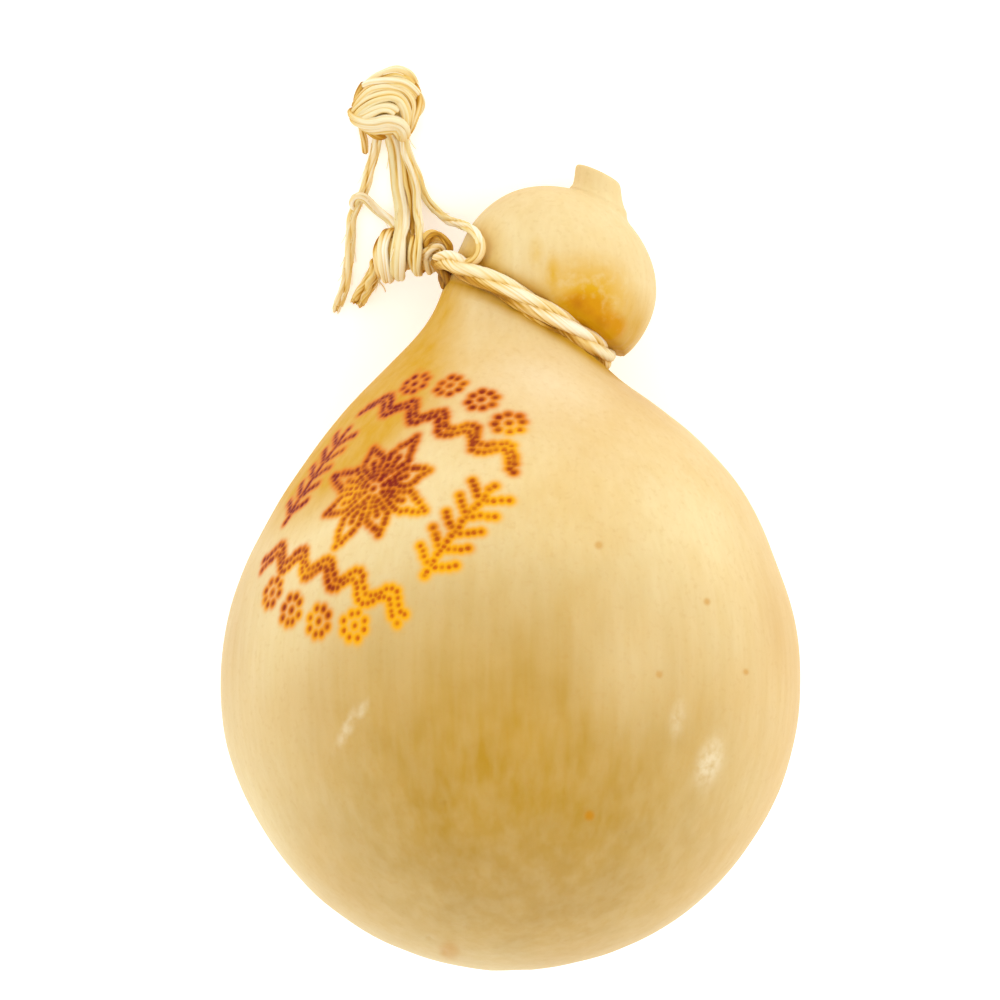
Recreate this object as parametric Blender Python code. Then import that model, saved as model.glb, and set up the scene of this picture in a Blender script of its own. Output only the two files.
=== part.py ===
"""Caciocavallo: a gourd-shaped stretched-curd cheese, tied round the neck and lying on its side.

The cheese is one solid: a round body, a shoulder, a tied neck, a round head and a small nub.
Twine goes round the neck in a loop that ends in a knot at the neck's left. From that knot
strands run to a second, larger knot, and loose tails hang from both. Everything beside the
cheese lies on the surface that the cheese rests on.

The cheese is drawn upright, in its own frame: u to the right, v up along the body's axis and
w out of the side that shows. It is then laid down about X, until the belly and the head both
touch the floor, z = 0. Lengths in the constants are millimetres, and meshes are in metres.
"""

import math

import bmesh
import bpy
from mathutils import Matrix, Vector

MM = 0.001
GAP = 0.4

# ---------------------------------------------------------------- driving dimensions

BODY_RADIUS = 65.3
BODY_FULLNESS = 2.02
BELLY_SINK = 1.4
BODY_Y = -20.1
BODY_Z = BODY_RADIUS - BELLY_SINK
DIP = math.radians(27.2)

BODY_ARC_START = -83.0
BODY_ARC_END = 24.0
BODY_ARC_STEPS = 15

# The shoulder's rings: u and v of the centre, lean to the right in degrees, radius.
SHOULDER = (
    (0.6, 33.5, 0.0, 56.7),
    (1.0, 40.4, 0.0, 53.2),
    (1.9, 50.1, 2.3, 46.4),
    (1.9, 58.9, 4.4, 38.5),
    (1.9, 65.8, 7.0, 31.1),
    (1.9, 70.9, 11.0, 25.1),
    (2.3, 75.0, 16.5, 21.8),
    (2.7, 78.6, 22.0, 20.5),
    (3.1, 83.1, 29.5, 19.6),
)

HEAD_CENTRE = (10.6, 90.5)
HEAD_ACROSS = 23.2
HEAD_ALONG = 20.6
HEAD_ARC = (-24.0, 72.0)
HEAD_STEPS = 11
HEAD_CREEP = (43.5, 28.6)
HEAD_LEAN = (40.0, 29.5)

NUB_BASE = (19.9, 108.9)
NUB_LEAN = 24.0
NUB_RADIUS = 5.4
# Distance above the nub's base and share of its radius, from the fillet to the flat end. The
# nub's rings lean to the right, but it grows straight along v.
NUB_PROFILE = ((0.2, 1.22), (1.0, 1.1), (2.6, 1.03), (4.6, 0.99), (5.7, 0.93), (6.1, 0.7))
NUB_END = 6.2

ROUND = 52
CURVE_STEPS = 2
SHARP_ANGLE = math.radians(40)

TIE_CENTRE = (3.0, 83.1)
TIE_LEAN = 29.5
ROPE_DIAMETER = 5.5
ROPE_CENTRE_RADIUS = 21.0
ROPE_OPENING = 34.0
ROPE_STEPS = 34
GROOVE_SEGMENTS = 56
GROOVE_SIDES = 12

TAIL_WIDTH = 2.5
SIDE_WIDTH = 2.2
MAIN_WIDTH = 3.2
FRONT_WIDTH = 2.1
CROSS_WIDTH = 2.3
SHORT_WIDTH = 3.6

# Routes of the loose twine on the floor, through points chosen along each strand.
LONG_TAIL = (
    (-30.8, 88.1, 3.5),
    (-31.4, 84.2, 2.1),
    (-32.5, 80.2, 1.5),
    (-33.5, 76.4, 1.5),
    (-35.0, 72.9, 1.5),
    (-36.5, 69.3, 1.5),
    (-37.1, 65.5, 1.5),
    (-37.9, 56.7, 1.5),
    (-38.5, 52.8, 1.5),
    (-39.7, 49.5, 1.5),
    (-41.2, 45.0, 1.5),
)
MAIN_STRAND = (
    (-27.3, 88.6, 3.8),
    (-26.7, 84.5, 2.0),
    (-26.4, 80.8, 1.8),
    (-26.1, 76.2, 1.8),
    (-25.6, 73.0, 2.1),
    (-25.2, 70.8, 3.6),
    (-25.2, 69.8, 6.4),
    (-25.3, 69.1, 9.0),
)
FRONT_STRAND = (
    (-24.5, 88.8, 5.8),
    (-24.2, 85.2, 4.4),
    (-23.4, 81.9, 3.8),
    (-22.6, 79.0, 3.7),
    (-22.1, 76.1, 3.7),
    (-21.9, 73.2, 4.2),
    (-21.5, 71.0, 6.0),
    (-21.1, 69.8, 11.0),
)
SIDE_STRAND = (
    (-24.6, 89.8, 2.3),
    (-24.1, 86.0, 1.5),
    (-22.9, 82.1, 1.4),
    (-21.4, 78.7, 1.4),
    (-20.4, 75.4, 1.4),
    (-19.3, 72.9, 1.4),
    (-18.1, 71.5, 1.8),
    (-16.6, 70.5, 3.8),
    (-14.8, 70.2, 7.5),
    (-12.5, 71.8, 15.2),
    (-9.9, 74.1, 25.4),
    (-8.3, 74.7, 30.8),
    (-7.2, 74.1, 34.4),
    (-6.8, 73.0, 36.6),
)
CROSS_STRAND = (
    (-32.4, 71.6, 1.5),
    (-31.0, 70.5, 1.5),
    (-29.2, 69.3, 1.7),
    (-28.2, 68.6, 2.3),
)
SHORT_TAIL = (
    (-31.2, 58.4, 7.9),
    (-32.0, 55.8, 6.0),
    (-33.2, 52.8, 4.0),
    (-34.6, 50.4, 2.8),
    (-35.8, 48.0, 2.3),
)

# Each knot is a few rounded lumps: centre, half sizes, turn about Z in degrees.
NECK_KNOT = (
    ((-27.4, 63.0, 12.6), (4.2, 6.3, 5.8), -8.0),
    ((-20.7, 64.2, 15.6), (4.0, 5.0, 5.4), 12.0),
    ((-18.0, 68.2, 17.4), (3.0, 3.0, 3.2), 0.0),
)
TOP_KNOT = (
    ((-28.2, 97.0, 5.9), (8.0, 8.1, 5.6), 20.0),
    ((-24.9, 102.8, 5.6), (4.3, 3.7, 4.2), -20.0),
    ((-22.6, 96.8, 5.6), (2.9, 5.2, 4.4), 0.0),
    ((-33.6, 93.6, 4.8), (3.2, 5.4, 4.2), 25.0),
)
LUMP_SEGMENTS = 14
LUMP_RINGS = 9

CHEESE_COLOUR = (0.80, 0.56, 0.21, 1.0)
TWINE_COLOUR = (0.82, 0.72, 0.43, 1.0)


# ---------------------------------------------------------------- small helpers


def clear_scene():
    for obj in list(bpy.data.objects):
        bpy.data.objects.remove(obj)


def material(name, colour, roughness):
    made = bpy.data.materials.new(name)
    made.use_nodes = True
    shader = made.node_tree.nodes["Principled BSDF"]
    shader.inputs["Base Color"].default_value = colour
    shader.inputs["Roughness"].default_value = roughness
    shader.inputs["Metallic"].default_value = 0.0
    return made


def add_object(name, data, surface):
    obj = bpy.data.objects.new(name, data)
    bpy.context.scene.collection.objects.link(obj)
    if surface is not None:
        data.materials.append(surface)
    return obj


def between(start, end, share):
    return start + (end - start) * share


def smooth_through(points):
    """Points on a Catmull-Rom curve through the given ones, CURVE_STEPS to each span."""
    first = [2 * a - b for a, b in zip(points[0], points[1])]
    last = [2 * a - b for a, b in zip(points[-1], points[-2])]
    guide = [first, *points, last]
    found = []
    for i in range(1, len(guide) - 2):
        for step in range(CURVE_STEPS):
            t = step / CURVE_STEPS
            weights = (
                -0.5 * t + t**2 - 0.5 * t**3,
                1 - 2.5 * t**2 + 1.5 * t**3,
                0.5 * t + 2 * t**2 - 1.5 * t**3,
                -0.5 * t**2 + 0.5 * t**3,
            )
            spans = zip(*guide[i - 1 : i + 3])
            found.append(tuple(sum(w * c for w, c in zip(weights, four)) for four in spans))
    found.append(tuple(points[-1]))
    return found


def laid_down():
    """The matrix from the upright cheese, in millimetres, to the lying one, in metres."""
    place = Matrix.Translation((0.0, BODY_Y * MM, BODY_Z * MM))
    return place @ Matrix.Rotation(-DIP, 4, "X") @ Matrix.Scale(MM, 4)


# ---------------------------------------------------------------- the cheese


def body_rings():
    """Rings (u, v, lean, radius) of the round body, from its foot to the shoulder."""
    rings = []
    for step in range(BODY_ARC_STEPS + 1):
        angle = between(BODY_ARC_START, BODY_ARC_END, step / BODY_ARC_STEPS)
        height = math.sin(math.radians(angle))
        power = BODY_FULLNESS if height < 0 else 2.0
        width = (1 - abs(height) ** power) ** (1 / power)
        rings.append((0.0, BODY_RADIUS * height, 0.0, BODY_RADIUS * width))
    return rings


def head_rings():
    """Rings of the head, whose centres creep over to the right and then back to the nub."""
    rings = []
    for step in range(HEAD_STEPS + 1):
        share = step / HEAD_STEPS
        angle = math.radians(between(*HEAD_ARC, share))
        creep = math.radians(between(*HEAD_CREEP, share))
        along = HEAD_ALONG * math.sin(angle)
        u = HEAD_CENTRE[0] + along * math.sin(creep)
        v = HEAD_CENTRE[1] + along * math.cos(creep)
        rings.append((u, v, between(*HEAD_LEAN, share), HEAD_ACROSS * math.cos(angle)))
    return rings


def nub_rings():
    u, v = NUB_BASE
    return [(u, v + far, NUB_LEAN, NUB_RADIUS * share) for far, share in NUB_PROFILE]


def cheese_rings():
    """All rings from foot to nub. The curve through the shoulder also takes in two rings on each
    side of it, so that it leaves the body and enters the head smoothly."""
    body, head = body_rings(), head_rings()
    curve = smooth_through([body[-2], body[-1], *SHOULDER, head[0], head[1]])
    shared = CURVE_STEPS + 1
    return body + curve[shared:-shared] + head + nub_rings()


def ring_points(ring):
    u, v, lean, radius = ring
    lean = math.radians(lean)
    for step in range(ROUND):
        turn = 2 * math.pi * step / ROUND
        across = radius * math.cos(turn)
        yield Vector((u + across * math.cos(lean), v - across * math.sin(lean), radius * math.sin(turn)))


def make_cheese(surface):
    mesh = bpy.data.meshes.new("cheese")
    shape = bmesh.new()
    place = laid_down()
    loops = [[shape.verts.new(place @ p) for p in ring_points(ring)] for ring in cheese_rings()]
    for lower, upper in zip(loops, loops[1:]):
        for i in range(ROUND):
            j = (i + 1) % ROUND
            shape.faces.new((lower[i], lower[j], upper[j], upper[i]))
    foot = shape.verts.new(place @ Vector((0.0, -BODY_RADIUS, 0.0)))
    tip = shape.verts.new(place @ Vector((NUB_BASE[0], NUB_BASE[1] + NUB_END, 0.0)))
    for i in range(ROUND):
        j = (i + 1) % ROUND
        shape.faces.new((foot, loops[0][j], loops[0][i]))
        shape.faces.new((tip, loops[-1][i], loops[-1][j]))
    rest_on_floor(shape)
    bmesh.ops.recalc_face_normals(shape, faces=shape.faces)
    shape.to_mesh(mesh)
    shape.free()
    mesh.shade_smooth()
    mesh.set_sharp_from_angle(angle=SHARP_ANGLE)
    cheese = add_object("cheese", mesh, surface)
    cut = cheese.modifiers.new("rope groove", "BOOLEAN")
    cut.operation = "DIFFERENCE"
    cut.solver = "EXACT"
    cut.object = make_groove_cutter()
    return cheese


def rest_on_floor(shape):
    """Cuts off what is below the floor, which leaves small flats under the belly and the head."""
    everything = shape.verts[:] + shape.edges[:] + shape.faces[:]
    bmesh.ops.bisect_plane(
        shape, geom=everything, plane_co=(0, 0, 0), plane_no=(0, 0, 1), clear_inner=True
    )
    rims = [edge for edge in shape.edges if edge.is_boundary]
    bmesh.ops.holes_fill(shape, edges=rims, sides=0)


def tie_point(turn, radius):
    """A point on a circle round the neck in the tie's plane; a turn of 0 is at the right."""
    lean = math.radians(TIE_LEAN)
    across = radius * math.cos(turn)
    local = Vector(
        (
            TIE_CENTRE[0] + across * math.cos(lean),
            TIE_CENTRE[1] - across * math.sin(lean),
            radius * math.sin(turn),
        )
    )
    return laid_down() @ local


def make_groove_cutter():
    bpy.ops.mesh.primitive_torus_add(
        major_segments=GROOVE_SEGMENTS,
        minor_segments=GROOVE_SIDES,
        major_radius=ROPE_CENTRE_RADIUS * MM,
        minor_radius=(ROPE_DIAMETER / 2 + GAP) * MM,
    )
    cutter = bpy.context.object
    cutter.name = "rope_groove_cutter"
    centre = laid_down() @ Vector((*TIE_CENTRE, 0.0))
    lean = math.radians(TIE_LEAN)
    axis = Matrix.Rotation(-DIP, 3, "X") @ Vector((math.sin(lean), math.cos(lean), 0.0))
    cutter.location = centre
    cutter.rotation_euler = axis.to_track_quat("Z", "Y").to_euler()
    cutter.hide_render = True
    cutter.display_type = "WIRE"
    return cutter


# ---------------------------------------------------------------- the twine


def make_tube(name, points, diameter, surface):
    """A round tube with filled ends through the points, which are in metres."""
    line = bpy.data.curves.new(name, "CURVE")
    line.dimensions = "3D"
    line.bevel_depth = diameter / 2 * MM
    line.bevel_resolution = 2
    line.use_fill_caps = True
    spline = line.splines.new("POLY")
    spline.points.add(len(points) - 1)
    for point, place in zip(spline.points, points):
        point.co = (*place, 1.0)
    return add_object(name, line, surface)


def make_strand(name, route, diameter, surface):
    points = [Vector(point) * MM for point in smooth_through(route)]
    return make_tube(name, points, diameter, surface)


def make_neck_loop(surface):
    """The tie runs round the neck from one side of the knot to the other."""
    opening = math.radians(ROPE_OPENING) / 2
    points = []
    for step in range(ROPE_STEPS + 1):
        turn = between(-math.pi + opening, math.pi - opening, step / ROPE_STEPS)
        points.append(tie_point(turn, ROPE_CENTRE_RADIUS))
    return make_tube("neck_loop", points, ROPE_DIAMETER, surface)


def make_lump(name, centre, half_sizes, turn, surface):
    mesh = bpy.data.meshes.new(name)
    shape = bmesh.new()
    bmesh.ops.create_uvsphere(shape, u_segments=LUMP_SEGMENTS, v_segments=LUMP_RINGS, radius=1.0)
    place = Matrix.Translation(Vector(centre) * MM)
    turned = Matrix.Rotation(math.radians(turn), 4, "Z")
    sizes = Matrix.Diagonal((*[half * MM for half in half_sizes], 1.0))
    bmesh.ops.transform(shape, matrix=place @ turned @ sizes, verts=shape.verts)
    shape.to_mesh(mesh)
    shape.free()
    mesh.shade_smooth()
    return add_object(name, mesh, surface)


def make_knot(name, lumps, surface):
    """One solid from a knot's lumps: the first takes the others in."""
    knot = make_lump(name, *lumps[0], surface)
    for number, lump in enumerate(lumps[1:], start=2):
        other = make_lump(f"{name}_lump_{number}", *lump, None)
        other.hide_render = True
        other.display_type = "WIRE"
        joined = knot.modifiers.new(f"lump {number}", "BOOLEAN")
        joined.operation = "UNION"
        joined.solver = "EXACT"
        joined.object = other
    return knot


# ---------------------------------------------------------------- the whole object


def main():
    clear_scene()
    rind = material("rind", CHEESE_COLOUR, 0.4)
    twine = material("twine", TWINE_COLOUR, 0.9)
    make_cheese(rind)
    make_neck_loop(twine)
    make_knot("neck_knot", NECK_KNOT, twine)
    make_knot("top_knot", TOP_KNOT, twine)
    make_strand("long_tail", LONG_TAIL, TAIL_WIDTH, twine)
    make_strand("main_strand", MAIN_STRAND, MAIN_WIDTH, twine)
    make_strand("front_strand", FRONT_STRAND, FRONT_WIDTH, twine)
    make_strand("side_strand", SIDE_STRAND, SIDE_WIDTH, twine)
    make_strand("cross_strand", CROSS_STRAND, CROSS_WIDTH, twine)
    make_strand("short_tail", SHORT_TAIL, SHORT_WIDTH, twine)


main()
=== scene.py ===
# %% [markdown]
# # A caciocavallo on its side
#
# Caciocavallo is a stretched-curd cheese. The warm curd is pulled, shaped like a gourd by hand
# and tied round the neck, so that it can hang from a pole while it ripens. This lesson makes its
# looks around a finished solid: the waxy rind, the burnt mark and the knotted twine. The solid,
# called the frame here, comes first, because every piece below sits where the frame says.

# %% Load the frame
import math

import bpy
import numpy as np
from mathutils import Matrix, Vector, noise


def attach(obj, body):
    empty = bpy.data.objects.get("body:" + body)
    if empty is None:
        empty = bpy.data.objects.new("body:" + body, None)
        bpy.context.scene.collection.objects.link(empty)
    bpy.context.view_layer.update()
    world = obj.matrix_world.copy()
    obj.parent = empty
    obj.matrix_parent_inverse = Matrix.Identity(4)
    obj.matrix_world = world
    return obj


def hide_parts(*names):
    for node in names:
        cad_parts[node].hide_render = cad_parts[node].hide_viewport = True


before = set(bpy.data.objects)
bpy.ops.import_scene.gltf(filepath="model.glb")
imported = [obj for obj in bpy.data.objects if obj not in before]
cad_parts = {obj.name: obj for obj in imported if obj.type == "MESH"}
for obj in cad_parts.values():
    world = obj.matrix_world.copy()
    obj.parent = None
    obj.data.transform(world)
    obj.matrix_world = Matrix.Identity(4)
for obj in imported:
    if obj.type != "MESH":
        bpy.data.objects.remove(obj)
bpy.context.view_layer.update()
MM = 0.001
print("frame nodes:", ", ".join(sorted(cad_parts)))

# %% [markdown]
# ## The camera
#
# A long lens from 0.8 m keeps the cheese's true outline. The camera looks down on the lying cheese
# and leans 22 degrees towards its head, so that the round body and the neck are both seen square
# on. A camera in Blender looks along its own -Z, so one small turn about X is all it needs.

# %% Place the camera
CAMERA_PLACE = (-2.5, 316.9, 790.6)
CAMERA_LEAN = -22.0
CAMERA_LENS = 128.0

bpy.ops.object.camera_add(
    location=[side * MM for side in CAMERA_PLACE],
    rotation=(math.radians(CAMERA_LEAN), 0, 0),
)
camera = bpy.context.object
camera.data.lens = CAMERA_LENS
camera.data.clip_start = 0.05
bpy.context.scene.camera = camera
print("camera at", [round(side, 3) for side in camera.location])

# %% [markdown]
# ## Where the cheese lies
#
# The cheese is easier to think of upright: u to its right, v up along its axis, w towards the
# side that shows. It was then laid down, about its own centre, until belly and head touched the
# table. One matrix turns the upright place of a point into its place on the table.

# %% The upright cheese and the table
BODY_RADIUS = 65.3
BODY_Y = -20.1
BODY_Z = 63.9
DIP = math.radians(27.2)

TIE_CENTRE = (3.0, 83.1)
TIE_LEAN = math.radians(29.5)
ROPE_DIAMETER = 5.5
ROPE_CENTRE_RADIUS = 21.0

lay_down = Matrix.Translation((0, BODY_Y * MM, BODY_Z * MM)) @ Matrix.Rotation(-DIP, 4, "X")
print("the head end dips by", round(math.degrees(DIP), 1), "degrees")


def on_table(points):
    """Upright points, in millimetres, as places on the table, in metres."""
    turn = np.array(lay_down.to_3x3())
    return np.asarray(points) * MM @ turn.T + np.array(lay_down.translation)


# %% [markdown]
# ## How twine is laid
#
# Twine for cheese is soft plant fibre. A bevelled curve would give one smooth tube, with no
# valleys for shadow and nothing to say which fibre is which. So each strand here is a few yarns,
# laid together along one line and slowly turning round it. Every yarn is a closed tube whose
# points run in long ridges, and every point remembers three things for the material: where it
# would be if the yarn were pulled straight, how far out in the light it is, and a tint of its own.

# %% Lines that yarns follow
YARN_STEP = 0.5
CURVE_STEPS = 16


def curve_through(keys):
    """Points on a smooth curve through the given ones, in their own units."""
    keys = np.array(keys, float)
    guide = np.vstack([2 * keys[0] - keys[1], keys, 2 * keys[-1] - keys[-2]])
    t = np.linspace(0, 1, CURVE_STEPS, endpoint=False)[:, None]
    spans = []
    for before, start, end, after in zip(guide, guide[1:], guide[2:], guide[3:]):
        bend = before - 2.5 * start + 2 * end - 0.5 * after
        twist = 1.5 * (start - end) + 0.5 * (after - before)
        spans.append(start + 0.5 * t * (end - before) + t**2 * bend + t**3 * twist)
    return np.vstack([*spans, keys[-1:]])


def evenly(points):
    """The same line with its points evenly spaced."""
    steps = np.linalg.norm(np.diff(points, axis=0), axis=1)
    along = np.concatenate([[0], np.cumsum(steps)])
    wanted = np.linspace(0, along[-1], max(int(along[-1] / (YARN_STEP * MM)), 4) + 1)
    return np.column_stack([np.interp(wanted, along, points[:, axis]) for axis in range(3)])


def smooth_line(route):
    """A smooth, even line, in metres, through a route given in millimetres."""
    return evenly(curve_through(route) * MM)


def line_length(line):
    """The length of a line, in metres."""
    return float(np.linalg.norm(np.diff(line, axis=0), axis=1).sum())


def unit(vectors):
    """The same directions, each of length 1."""
    return vectors / np.linalg.norm(vectors, axis=-1, keepdims=True)


def directions(line, outward):
    """Two directions across a line at each point: sideways, and away from what it lies on.

    A single outward direction is carried along the line without turning, so that a strand that
    climbs doesn't kink.
    """
    along = unit(np.gradient(line, axis=0))
    if np.ndim(outward) == 1:
        carried = [np.asarray(outward)]
        for step in along:
            carried.append(unit(carried[-1] - step * (carried[-1] @ step)))
        outward = np.array(carried[1:])
    side = unit(np.cross(along, outward))
    return side, np.cross(side, along)


print("a yarn has a ring of points every", YARN_STEP, "mm")

# %% [markdown]
# A bundle is given its width and height, so that it can be round like cord or flat like a folded
# wrap. Two to four yarns lie side by side in a ring, and more are spread over the section in the
# way that seeds fill a sunflower. Each then wanders a little, from numbers drawn with a fixed seed.

# %% Lay one bundle of yarns
POINTS_PER_MM = 11
DRIFT_STEP = 10
DRIFT = 0.2
SWELL = 0.05
FRAYED_SHARE = 0.22
RIDGE = 0.075
RIDGED_WIDTH = 1.6
RIDGE_SHADE = 0.12
COUNTER_TWIST = -1.5
GOLDEN_ANGLE = math.radians(137.5)
# Metres that set the pattern of one yarn, and of one bundle, apart from the next.
YARN_SHIFT = 0.013
BUNDLE_SHIFT = 0.031


def wander(dice, count, size, columns=1):
    """Slow random drifts, `count` values long, side by side in columns."""
    keys = dice.normal(0, size, (max(count // DRIFT_STEP, 2) + 2, columns))
    place = np.linspace(0, len(keys) - 1.001, count)
    low = place.astype(int)
    share = (place - low)[:, None]
    return keys[low] * (1 - share) + keys[low + 1] * share


def open_out(share, amount):
    """How much wider a bundle gets over the last fifth of its length."""
    return 1 + amount * np.clip(1 - share / FRAYED_SHARE, 0, 1) ** 2


def round_ends(metres, radius):
    """Shrinks a tube's ends to round tips, so that none looks sawn off."""
    near = np.clip(np.minimum(metres - metres[0], metres[-1] - metres) / radius, 0, 1)
    return np.maximum(np.sqrt(1 - (1 - near) ** 2), 0.3)


def lay_bundle(
    line, outward, width, height, yarns, yarn, seed, turns=0.0, splay=(0, 0), uneven=0.0, light=1.0
):
    """Yarns along a line: a list of tubes. Widths are millimetres, and `turns` are per 10 mm.

    One yarn alone fills the width and height. `splay` opens the two ends out, and `uneven` cuts
    the yarns there to different lengths. `light` is less for twine deep in a knot or in shadow;
    the material paints such twine darker, as painted shade.
    """
    dice = np.random.default_rng(seed)
    side, away = directions(line, outward)
    length = line_length(line)
    share = np.linspace(0, 1, len(line))
    spin = 2 * math.pi * turns * length / (10 * MM) * share
    opening = open_out(share, splay[0]) * open_out(1 - share, splay[1])
    across, upward = (width, height) if yarns == 1 else (yarn, yarn)
    sides = max(7, round(POINTS_PER_MM * across))
    around = np.linspace(0, 2 * math.pi, sides, endpoint=False)
    tubes = []
    for number in range(yarns):
        if yarns < 5:
            reach, first = float(yarns > 1), 2 * math.pi * number / yarns + 0.4
        else:
            reach, first = math.sqrt((number + 0.5) / yarns), number * GOLDEN_ANGLE
        drift = wander(dice, len(line), DRIFT, 2)
        angle = first + spin + drift[:, 0]
        reach = reach * opening * (1 + 0.3 * drift[:, 1])
        x = reach * np.cos(angle) * (width - across) / 2
        y = reach * np.sin(angle) * (height - upward) / 2
        ridges = dice.uniform(-1, 1, sides) + wander(dice, len(line), 0.5, sides)
        cut = dice.uniform(0, uneven, 2) * MM / length * (np.array(splay) > 0)
        kept = (share >= cut[0]) & (share <= 1 - cut[1])
        metres = share[kept] * length
        swell = 1 + wander(dice, len(line), SWELL)[kept, 0]
        tip = round_ends(metres, across / 2 * MM) * swell
        own_twist = COUNTER_TWIST if yarns > 1 else 1
        grain = around + (spin[kept] * own_twist)[:, None]
        relief = ridges[kept] * RIDGE * min(across / RIDGED_WIDTH, 1)
        ring_x = (x[kept, None] + tip[:, None] * (across / 2 + relief) * np.cos(grain)) * MM
        ring_y = (y[kept, None] + tip[:, None] * (upward / 2 + relief) * np.sin(grain)) * MM
        places = line[kept, None] + ring_x[..., None] * side[kept, None]
        places = places + ring_y[..., None] * away[kept, None]
        # How far out of the bundle a point is: the material paints points deeper in, and ridge valleys,
        # darker, as painted shade.
        outside = np.hypot(ring_x / (width * MM / 2), ring_y / (height * MM / 2))
        straight = np.broadcast_arrays(
            np.cos(around) * across / 2 * MM + number * YARN_SHIFT + seed * BUNDLE_SHIFT,
            np.sin(around) * upward / 2 * MM,
            metres[:, None],
        )
        shade = 1 - RIDGE_SHADE + RIDGE_SHADE * ridges[kept]
        tubes.append(
            {
                "places": places,
                "straight": np.stack(straight, axis=-1),
                "outside": np.clip(outside, 0, 1) * shade * light,
                "tint": dice.uniform(0, 1),
            }
        )
    return tubes


print("a 2 mm yarn has", 2 * POINTS_PER_MM, "points round it")

# %% [markdown]
# The tubes of a piece are joined into one mesh. A ring of points becomes a ring of faces, and the
# two ends are closed by a fan onto their middle. What each point remembers is kept as named
# attributes, which a material can read like any other pattern.

# %% Turn yarns into a mesh


def rings_to_faces(count, sides, start):
    """The faces of one closed tube whose first point has the number `start`."""
    faces = []
    for ring in range(count - 1):
        low = start + ring * sides
        for i in range(sides):
            j = (i + 1) % sides
            faces.append((low + i, low + j, low + sides + j, low + sides + i))
    foot, tip = start + count * sides, start + count * sides + 1
    last = start + (count - 1) * sides
    for i in range(sides):
        j = (i + 1) % sides
        faces.append((foot, start + j, start + i))
        faces.append((tip, last + i, last + j))
    return faces


def with_ends(rings):
    """Ring values in one row, followed by the two values for the ends' middles."""
    flat = rings.reshape(-1, *rings.shape[2:])
    return np.concatenate([flat, rings[:1].mean(axis=1), rings[-1:].mean(axis=1)])


def add_layer(mesh, name, values):
    """Stores one value, or one vector, for each point of a mesh."""
    kind, field = ("FLOAT_VECTOR", "vector") if np.ndim(values) == 2 else ("FLOAT", "value")
    layer = mesh.attributes.new(name, kind, "POINT")
    layer.data.foreach_set(field, np.ravel(values).astype(np.float32))


def make_twine(name, tubes):
    """One mesh object from many tubes."""
    places, faces, straight, outside, tint = [], [], [], [], []
    start = 0
    for tube in tubes:
        count, sides = tube["places"].shape[:2]
        faces += rings_to_faces(count, sides, start)
        places.append(with_ends(tube["places"]))
        straight.append(with_ends(tube["straight"]))
        outside.append(with_ends(tube["outside"]))
        tint.append(np.full(count * sides + 2, tube["tint"]))
        start += count * sides + 2
    mesh = bpy.data.meshes.new(name)
    mesh.from_pydata(np.concatenate(places), [], faces)
    add_layer(mesh, "straight", np.concatenate(straight))
    add_layer(mesh, "outside", np.concatenate(outside))
    add_layer(mesh, "tint", np.concatenate(tint))
    mesh.shade_smooth()
    piece = bpy.data.objects.new(name, mesh)
    bpy.context.scene.collection.objects.link(piece)
    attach(piece, "root")
    print(f"{name}: {len(tubes)} yarns, {len(faces)} faces")
    return piece


# %% [markdown]
# Loose hairs stand off old twine. Particle hair isn't part of a mesh, so each one is a very thin
# tube that leaves the strand at a shallow angle and curls. They stay short, within about a
# millimetre of the strand. The tie has none, because it is pulled tight over the rind.

# %% Add loose hairs
HAIR = 0.15
HAIR_REACH = 1.0


def loose_hairs(line, outward, diameter, count, seed):
    """Thin curling tubes that start on a strand's surface."""
    dice = np.random.default_rng(seed)
    side, away = directions(line, outward)
    outward = np.broadcast_to(outward, line.shape)
    hairs = []
    for number in range(count):
        start = dice.integers(2, max(len(line) - 12, 3))
        steps = dice.integers(6, 13)
        index = np.clip(np.arange(start, start + steps), 0, len(line) - 1)
        grown = np.linspace(0, 1, steps)
        lift = diameter / 2 * 0.92 + HAIR_REACH * grown**1.6 * dice.uniform(0.2, 1)
        curl = dice.uniform(-0.3, math.pi + 0.3) + grown * dice.uniform(-0.8, 0.8)
        x, y = lift * np.cos(curl) * MM, lift * np.sin(curl) * MM
        centres = line[index] + x[:, None] * side[index] + y[:, None] * away[index]
        centres[:, 2] = np.maximum(centres[:, 2], HAIR * MM)
        hairs += lay_bundle(centres, outward[index], HAIR, HAIR, 1, HAIR, seed + number)
    return hairs


print("hairs are", HAIR, "mm thick")

# %% [markdown]
# ## The strands that lie on the table
#
# Two strands run free. One leaves the loose end of the neck tie, drops off the cheese's shoulder
# and goes along the table to the big knot. The other hangs out of that knot and ends in a frayed
# tail. Their lines are the frame's own routes, written out again, because this script can't read
# the frame's source.

# %% Routes on the table, in millimetres
LONG_TAIL = (
    (-30.8, 88.1, 3.5), (-31.4, 84.2, 2.1), (-32.5, 80.2, 1.5), (-33.5, 76.4, 1.5),
    (-35.0, 72.9, 1.5), (-36.5, 69.3, 1.5), (-37.1, 65.5, 1.5), (-37.9, 56.7, 1.5),
    (-38.5, 52.8, 1.5), (-39.7, 49.5, 1.5), (-41.2, 45.0, 1.5),
)
SIDE_STRAND = (
    (-24.6, 89.8, 2.3), (-24.1, 86.0, 1.5), (-22.9, 82.1, 1.4), (-21.4, 78.7, 1.4),
    (-20.4, 75.4, 1.4), (-19.3, 72.9, 1.4), (-18.1, 71.5, 1.8), (-16.6, 70.5, 3.8),
    (-14.8, 70.2, 7.5), (-12.5, 71.8, 15.2), (-9.9, 74.1, 25.4), (-8.3, 74.7, 30.8),
    (-7.2, 74.1, 34.4), (-6.8, 73.0, 36.6),
)
print("free strands have", len(LONG_TAIL), "and", len(SIDE_STRAND), "places")

# %% [markdown]
# A strand that lies on a table sags a little flat, so each bundle is lower than it is wide. The
# tail goes a little way into the knot, and its last eight millimetres fray into thin fibres of
# uneven length.

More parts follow.
